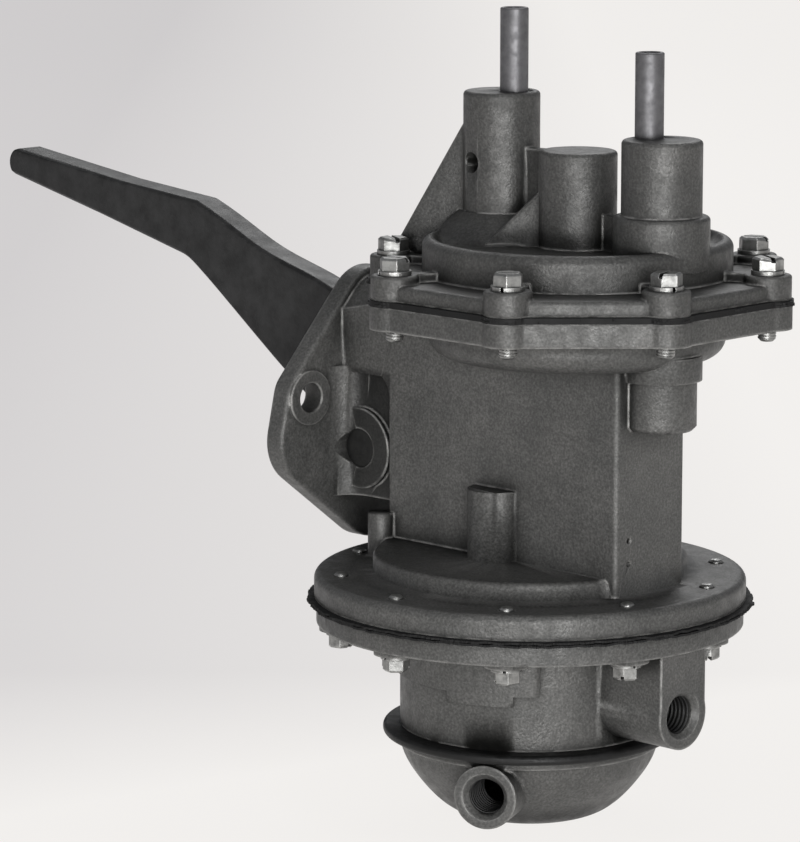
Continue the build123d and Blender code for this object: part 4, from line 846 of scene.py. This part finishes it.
def cloth_edge(name, axis, low, high, outline, ragged, seed, tabs=()):
    """Lay the frayed edge of one diaphragm ply between two flanges, with its tabs."""
    corners, faces = [], []
    for number in range(CLOTH_STEPS):
        turn = 2 * pi * number / CLOTH_STEPS
        ray = Vector((cos(turn), sin(turn), 0.0))
        place = NOISE_RADIUS * ray + Vector((0.0, 0.0, seed))
        fray = sum(share * noise.noise(place * fineness) for share, fineness in FRAY_WAVES)
        droop = EDGE_DROOP * noise.noise(place * DROOP_FINENESS + DROOP_SHIFT)
        reach = outline(turn) + ragged * fray
        for tab_turn, tab_reach, tab_half in tabs:
            aside = abs((turn - tab_turn + pi) % (2 * pi) - pi) / tab_half
            if aside < 1.0:
                reach += tab_reach * (1.0 - aside ** 4)
        inner = axis + ray * (outline(turn) - CLOTH_DEPTH)
        outer = axis + ray * reach
        corners += [
            (inner.x, inner.y, low),
            (outer.x, outer.y, low + droop),
            (outer.x, outer.y, high + droop),
            (inner.x, inner.y, high),
        ]
        here, there = 4 * number, 4 * ((number + 1) % CLOTH_STEPS)
        for corner in range(4):
            beside = (corner + 1) % 4
            faces.append((here + corner, there + corner, there + beside, here + beside))
    mesh = bpy.data.meshes.new(name)
    mesh.from_pydata(corners, [], faces)
    work = bmesh.new()
    work.from_mesh(mesh)
    bmesh.ops.recalc_face_normals(work, faces=work.faces)
    work.to_mesh(mesh)
    work.free()
    piece = new_object(name, mesh)
    dress(piece, "diaphragm_fabric")
    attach(piece, "housing")


class PUMP_OT_castings(Operator):
    """Give the four castings their blasted skin."""

    bl_idname = "pump.castings"
    bl_label = "Castings"

    def execute(self, context):
        for node in ("main_body", "vacuum_cover", "valve_body", "inlet_bowl"):
            skin_node(node, node + "_skin")
        return {"FINISHED"}


class PUMP_OT_diaphragms(Operator):
    """Lay the two diaphragms and their frayed edges between the flanges."""

    bl_idname = "pump.diaphragms"
    bl_label = "Diaphragms"

    def execute(self, context):
        pieces = {}
        for node, parent, child, _ in stretched_nodes():
            if node in STRETCH_BANDS:
                pieces[node] = stretch_node(node, parent, child, *STRETCH_BANDS[node])
        fuel_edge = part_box("fuel_diaphragm")[1].x - fuel_axis.x
        pull_in(pieces["fuel_diaphragm"], fuel_axis, fuel_edge - FUEL_EDGE_TRIM)
        outline = round_edge(fuel_edge)
        cloth_edge(
            "fuel_cloth_top",
            fuel_axis,
            low=FUEL_PLY_SPLIT + FUEL_PLY_GAP,
            high=FUEL_JOINT_HIGH,
            outline=outline,
            ragged=FUEL_FRAY,
            seed=3.0,
            tabs=FUEL_TABS,
        )
        cloth_edge(
            "fuel_cloth_bottom",
            fuel_axis,
            low=FUEL_JOINT_LOW,
            high=FUEL_PLY_SPLIT - FUEL_PLY_GAP,
            outline=outline,
            ragged=FUEL_FRAY,
            seed=8.0,
        )
        outline = lugged_edge(LUG_CIRCLE, LUG_RADIUS, SIDE_REACH)
        cloth_edge(
            "vacuum_cloth_top",
            vacuum_axis,
            low=VACUUM_JOINT_LOW + VACUUM_TOP_PLY,
            high=VACUUM_JOINT_HIGH,
            outline=outline,
            ragged=VACUUM_TOP_FRAY,
            seed=5.0,
            tabs=VACUUM_TABS,
        )
        cloth_edge(
            "vacuum_cloth_bottom",
            vacuum_axis,
            low=VACUUM_JOINT_LOW,
            high=VACUUM_JOINT_LOW + VACUUM_BOTTOM_PLY,
            outline=outline,
            ragged=VACUUM_BOTTOM_FRAY,
            seed=12.0,
            tabs=VACUUM_TABS[:1],
        )
        return {"FINISHED"}


class PUMP_OT_springs(Operator):
    """Stand a soft-shaded copy in for each spring that hangs between a fixed and a moving end."""

    bl_idname = "pump.springs"
    bl_label = "Springs"

    def execute(self, context):
        for node, parent, child, fixed_z in stretched_nodes():
            if not frame["nodes"][node].hide_render:
                low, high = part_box(node)
                moving_z = low.z if abs(low.z - fixed_z) > abs(high.z - fixed_z) else high.z
                stretch_node(node, parent, child, fixed_z, moving_z)
        return {"FINISHED"}


class PUMP_OT_threads(Operator):
    """Wind the threads on the screw tips and in the two ports."""

    bl_idname = "pump.threads"
    bl_label = "Threads"

    def execute(self, context):
        places = []
        for low, high in separate_solids("vacuum_cover_screws"):
            middle = (low + high) / 2
            places.append(Vector((middle.x, middle.y, low.z + SCREW_TIP_LEFT)))
        wind_threads(
            "vacuum_cover_screw_threads",
            places,
            slot="zinc_steel",
            radius=SCREW_RADIUS,
            pitch=SCREW_PITCH,
            length=SCREW_THREAD_LENGTH,
            depth=SCREW_DEPTH,
        )
        port_thread("fuel_inlet_port")
        port_thread("fuel_outlet_port")
        return {"FINISHED"}


class PUMP_OT_metalwork(Operator):
    """Give every other part its steel, brass or rubber."""

    bl_idname = "pump.metalwork"
    bl_label = "Steel, brass and rubber parts"

    def execute(self, context):
        for node in frame["nodes"]:
            if not frame["nodes"][node].hide_render:
                skin_node(node, node + "_skin")
        return {"FINISHED"}


class PUMP_OT_stage(Operator):
    """Set the floor, the lamps and the camera."""

    bl_idname = "pump.stage"
    bl_label = "Stage"

    def execute(self, context):
        stage = context.scene.pump_stage
        make_floor(stage)
        make_lamps(stage)
        make_camera(stage)
        return {"FINISHED"}


def make_floor(stage):
    """Lay a wide pale floor under the pump."""
    mesh = bpy.data.meshes.new("floor")
    side = FLOOR_REACH
    corners = [(-side, -side, 0), (side, -side, 0), (side, side, 0), (-side, side, 0)]
    mesh.from_pydata(corners, [], [(0, 1, 2, 3)])
    floor = new_object("floor", mesh)
    floor.location = (0, 0, floor_z)
    mesh.materials.append(floor_paper(stage))


def distance_along(tree, direction):
    """Return how far each point lies along a direction, on the object's own coordinates."""
    coordinates = add_node(tree, "ShaderNodeTexCoord")
    along = add_node(tree, "ShaderNodeVectorMath", operation="DOT_PRODUCT")
    along.inputs[1].default_value = direction
    tree.links.new(coordinates.outputs["Object"], along.inputs[0])
    return along.outputs["Value"]


def floor_paper(stage):
    """Pale paper that keeps the pump's shadow, with painted shade that leaves it grey at the left
    and painted light that makes it white at the right and near the camera.
    """
    material, tree, shader = blank_material("floor_paper")
    shader.inputs["Base Color"].default_value = (*stage.floor_colour, 1.0)
    shader.inputs["Roughness"].default_value = 0.9
    shader.inputs["Specular IOR Level"].default_value = 0.1
    turn = stage.camera_azimuth
    across = distance_along(tree, (cos(turn), sin(turn), 0.0))
    near = distance_along(tree, (sin(turn), -cos(turn), 0.0))
    # Painted light: the floor's shade grows lighter across the view and towards the camera
    share = add_node(tree, "ShaderNodeMath", operation="ADD", use_clamp=True)
    tree.links.new(value_range(tree, across, 0.0, 1.0, *LIGHTER_ACROSS), share.inputs[0])
    tree.links.new(value_range(tree, near, 0.0, NEAR_SHARE, *LIGHTER_NEAR), share.inputs[1])
    stops = [(0.0, stage.paper_painted_shade), (1.0, stage.paper_painted_light)]
    shade = colour_ramp(tree, share.outputs["Value"], stops)
    glow = add_node(tree, "ShaderNodeEmission", Strength=1.0)
    tree.links.new(shade, glow.inputs["Color"])
    path = add_node(tree, "ShaderNodeLightPath")
    seen = add_node(tree, "ShaderNodeMath", operation="ADD", use_clamp=True)
    tree.links.new(path.outputs["Is Camera Ray"], seen.inputs[0])
    tree.links.new(path.outputs["Is Glossy Ray"], seen.inputs[1])
    part = add_node(tree, "ShaderNodeMath", operation="MULTIPLY")
    part.inputs[1].default_value = stage.paper_glow
    tree.links.new(seen.outputs["Value"], part.inputs[0])
    mix = add_node(tree, "ShaderNodeMixShader")
    tree.links.new(part.outputs["Value"], mix.inputs["Fac"])
    tree.links.new(shader.outputs["BSDF"], mix.inputs[1])
    tree.links.new(glow.outputs["Emission"], mix.inputs[2])
    tree.links.new(mix.outputs["Shader"], tree.nodes["Material Output"].inputs["Surface"])
    return material


def area_lamp(name, place, aim, power, width, height):
    """Hang a soft lamp of a given width and height that looks at a point."""
    light = bpy.data.lights.new(name, "AREA")
    light.energy = power
    light.shape = "RECTANGLE"
    light.size = width
    light.size_y = height
    lamp = new_object(name, light)
    lamp.location = place
    lamp.rotation_mode = "QUATERNION"
    lamp.rotation_quaternion = (Vector(aim) - Vector(place)).to_track_quat("-Z", "Y")


def make_lamps(stage):
    """Light the pump from the right, from near the floor, from above and from behind."""
    centre = vacuum_axis
    area_lamp("key_lamp", (1.7, -1.1, 0.17), centre, stage.key_power, width=0.5, height=0.5)
    area_lamp("top_lamp", (0.5, -0.3, 1.6), centre, stage.top_power, width=0.35, height=0.35)
    area_lamp("low_lamp", (0.75, -0.95, -0.03), centre, stage.low_power, width=0.9, height=0.15)
    area_lamp("back_lamp", (-0.9, 1.2, 1.3), centre, stage.back_power, width=1.0, height=1.0)
    world = bpy.data.worlds.new("studio")
    bpy.context.scene.world = world
    world.use_nodes = True
    background = world.node_tree.nodes["Background"]
    background.inputs["Color"].default_value = SKY
    background.inputs["Strength"].default_value = stage.sky_strength


def make_camera(stage):
    """Stand the camera where the photograph was taken from."""
    data = bpy.data.cameras.new("camera")
    data.sensor_fit = "HORIZONTAL"
    data.sensor_width = 36.0
    data.lens = stage.camera_lens
    data.clip_start = 0.01
    data.clip_end = 50.0
    camera = new_object("camera", data)
    camera.location = stage.camera_place
    turn, tilt = stage.camera_azimuth, stage.camera_pitch
    gaze = Vector((-sin(turn) * cos(tilt), cos(turn) * cos(tilt), -sin(tilt)))
    camera.rotation_mode = "QUATERNION"
    camera.rotation_quaternion = gaze.to_track_quat("-Z", "Y")
    bpy.context.scene.camera = camera
    bpy.context.scene.view_settings.view_transform = "Standard"


OPERATORS = (
    PUMP_OT_castings,
    PUMP_OT_diaphragms,
    PUMP_OT_springs,
    PUMP_OT_threads,
    PUMP_OT_metalwork,
    PUMP_OT_stage,
)


class PUMP_PT_sidebar(Panel):
    """Sidebar panel that lists the steps."""

    bl_idname = "PUMP_PT_sidebar"
    bl_label = "Fuel and vacuum pump"
    bl_space_type = "VIEW_3D"
    bl_region_type = "UI"
    bl_category = "Pump"

    def draw(self, context):
        layout = self.layout
        for operator in OPERATORS:
            layout.operator(operator.bl_idname)
        for group in (context.scene.pump_finishes, context.scene.pump_stage):
            box = layout.box()
            for name in group.bl_rna.properties.keys():
                if name not in ("rna_type", "name"):
                    box.prop(group, name)


CLASSES = (PumpFinishes, PumpStage, *OPERATORS, PUMP_PT_sidebar)


def register():
    """Add the classes and their settings."""
    for cls in CLASSES:
        bpy.utils.register_class(cls)
    bpy.types.Scene.pump_finishes = PointerProperty(type=PumpFinishes)
    bpy.types.Scene.pump_stage = PointerProperty(type=PumpStage)


def unregister():
    """Take the classes and their settings away."""
    del bpy.types.Scene.pump_stage
    del bpy.types.Scene.pump_finishes
    for cls in reversed(CLASSES):
        bpy.utils.unregister_class(cls)


def main():
    """Run every step in order."""
    register()
    for operator in OPERATORS:
        getattr(bpy.ops.pump, operator.bl_idname.split(".")[1])()


if __name__ == "__main__":
    main()
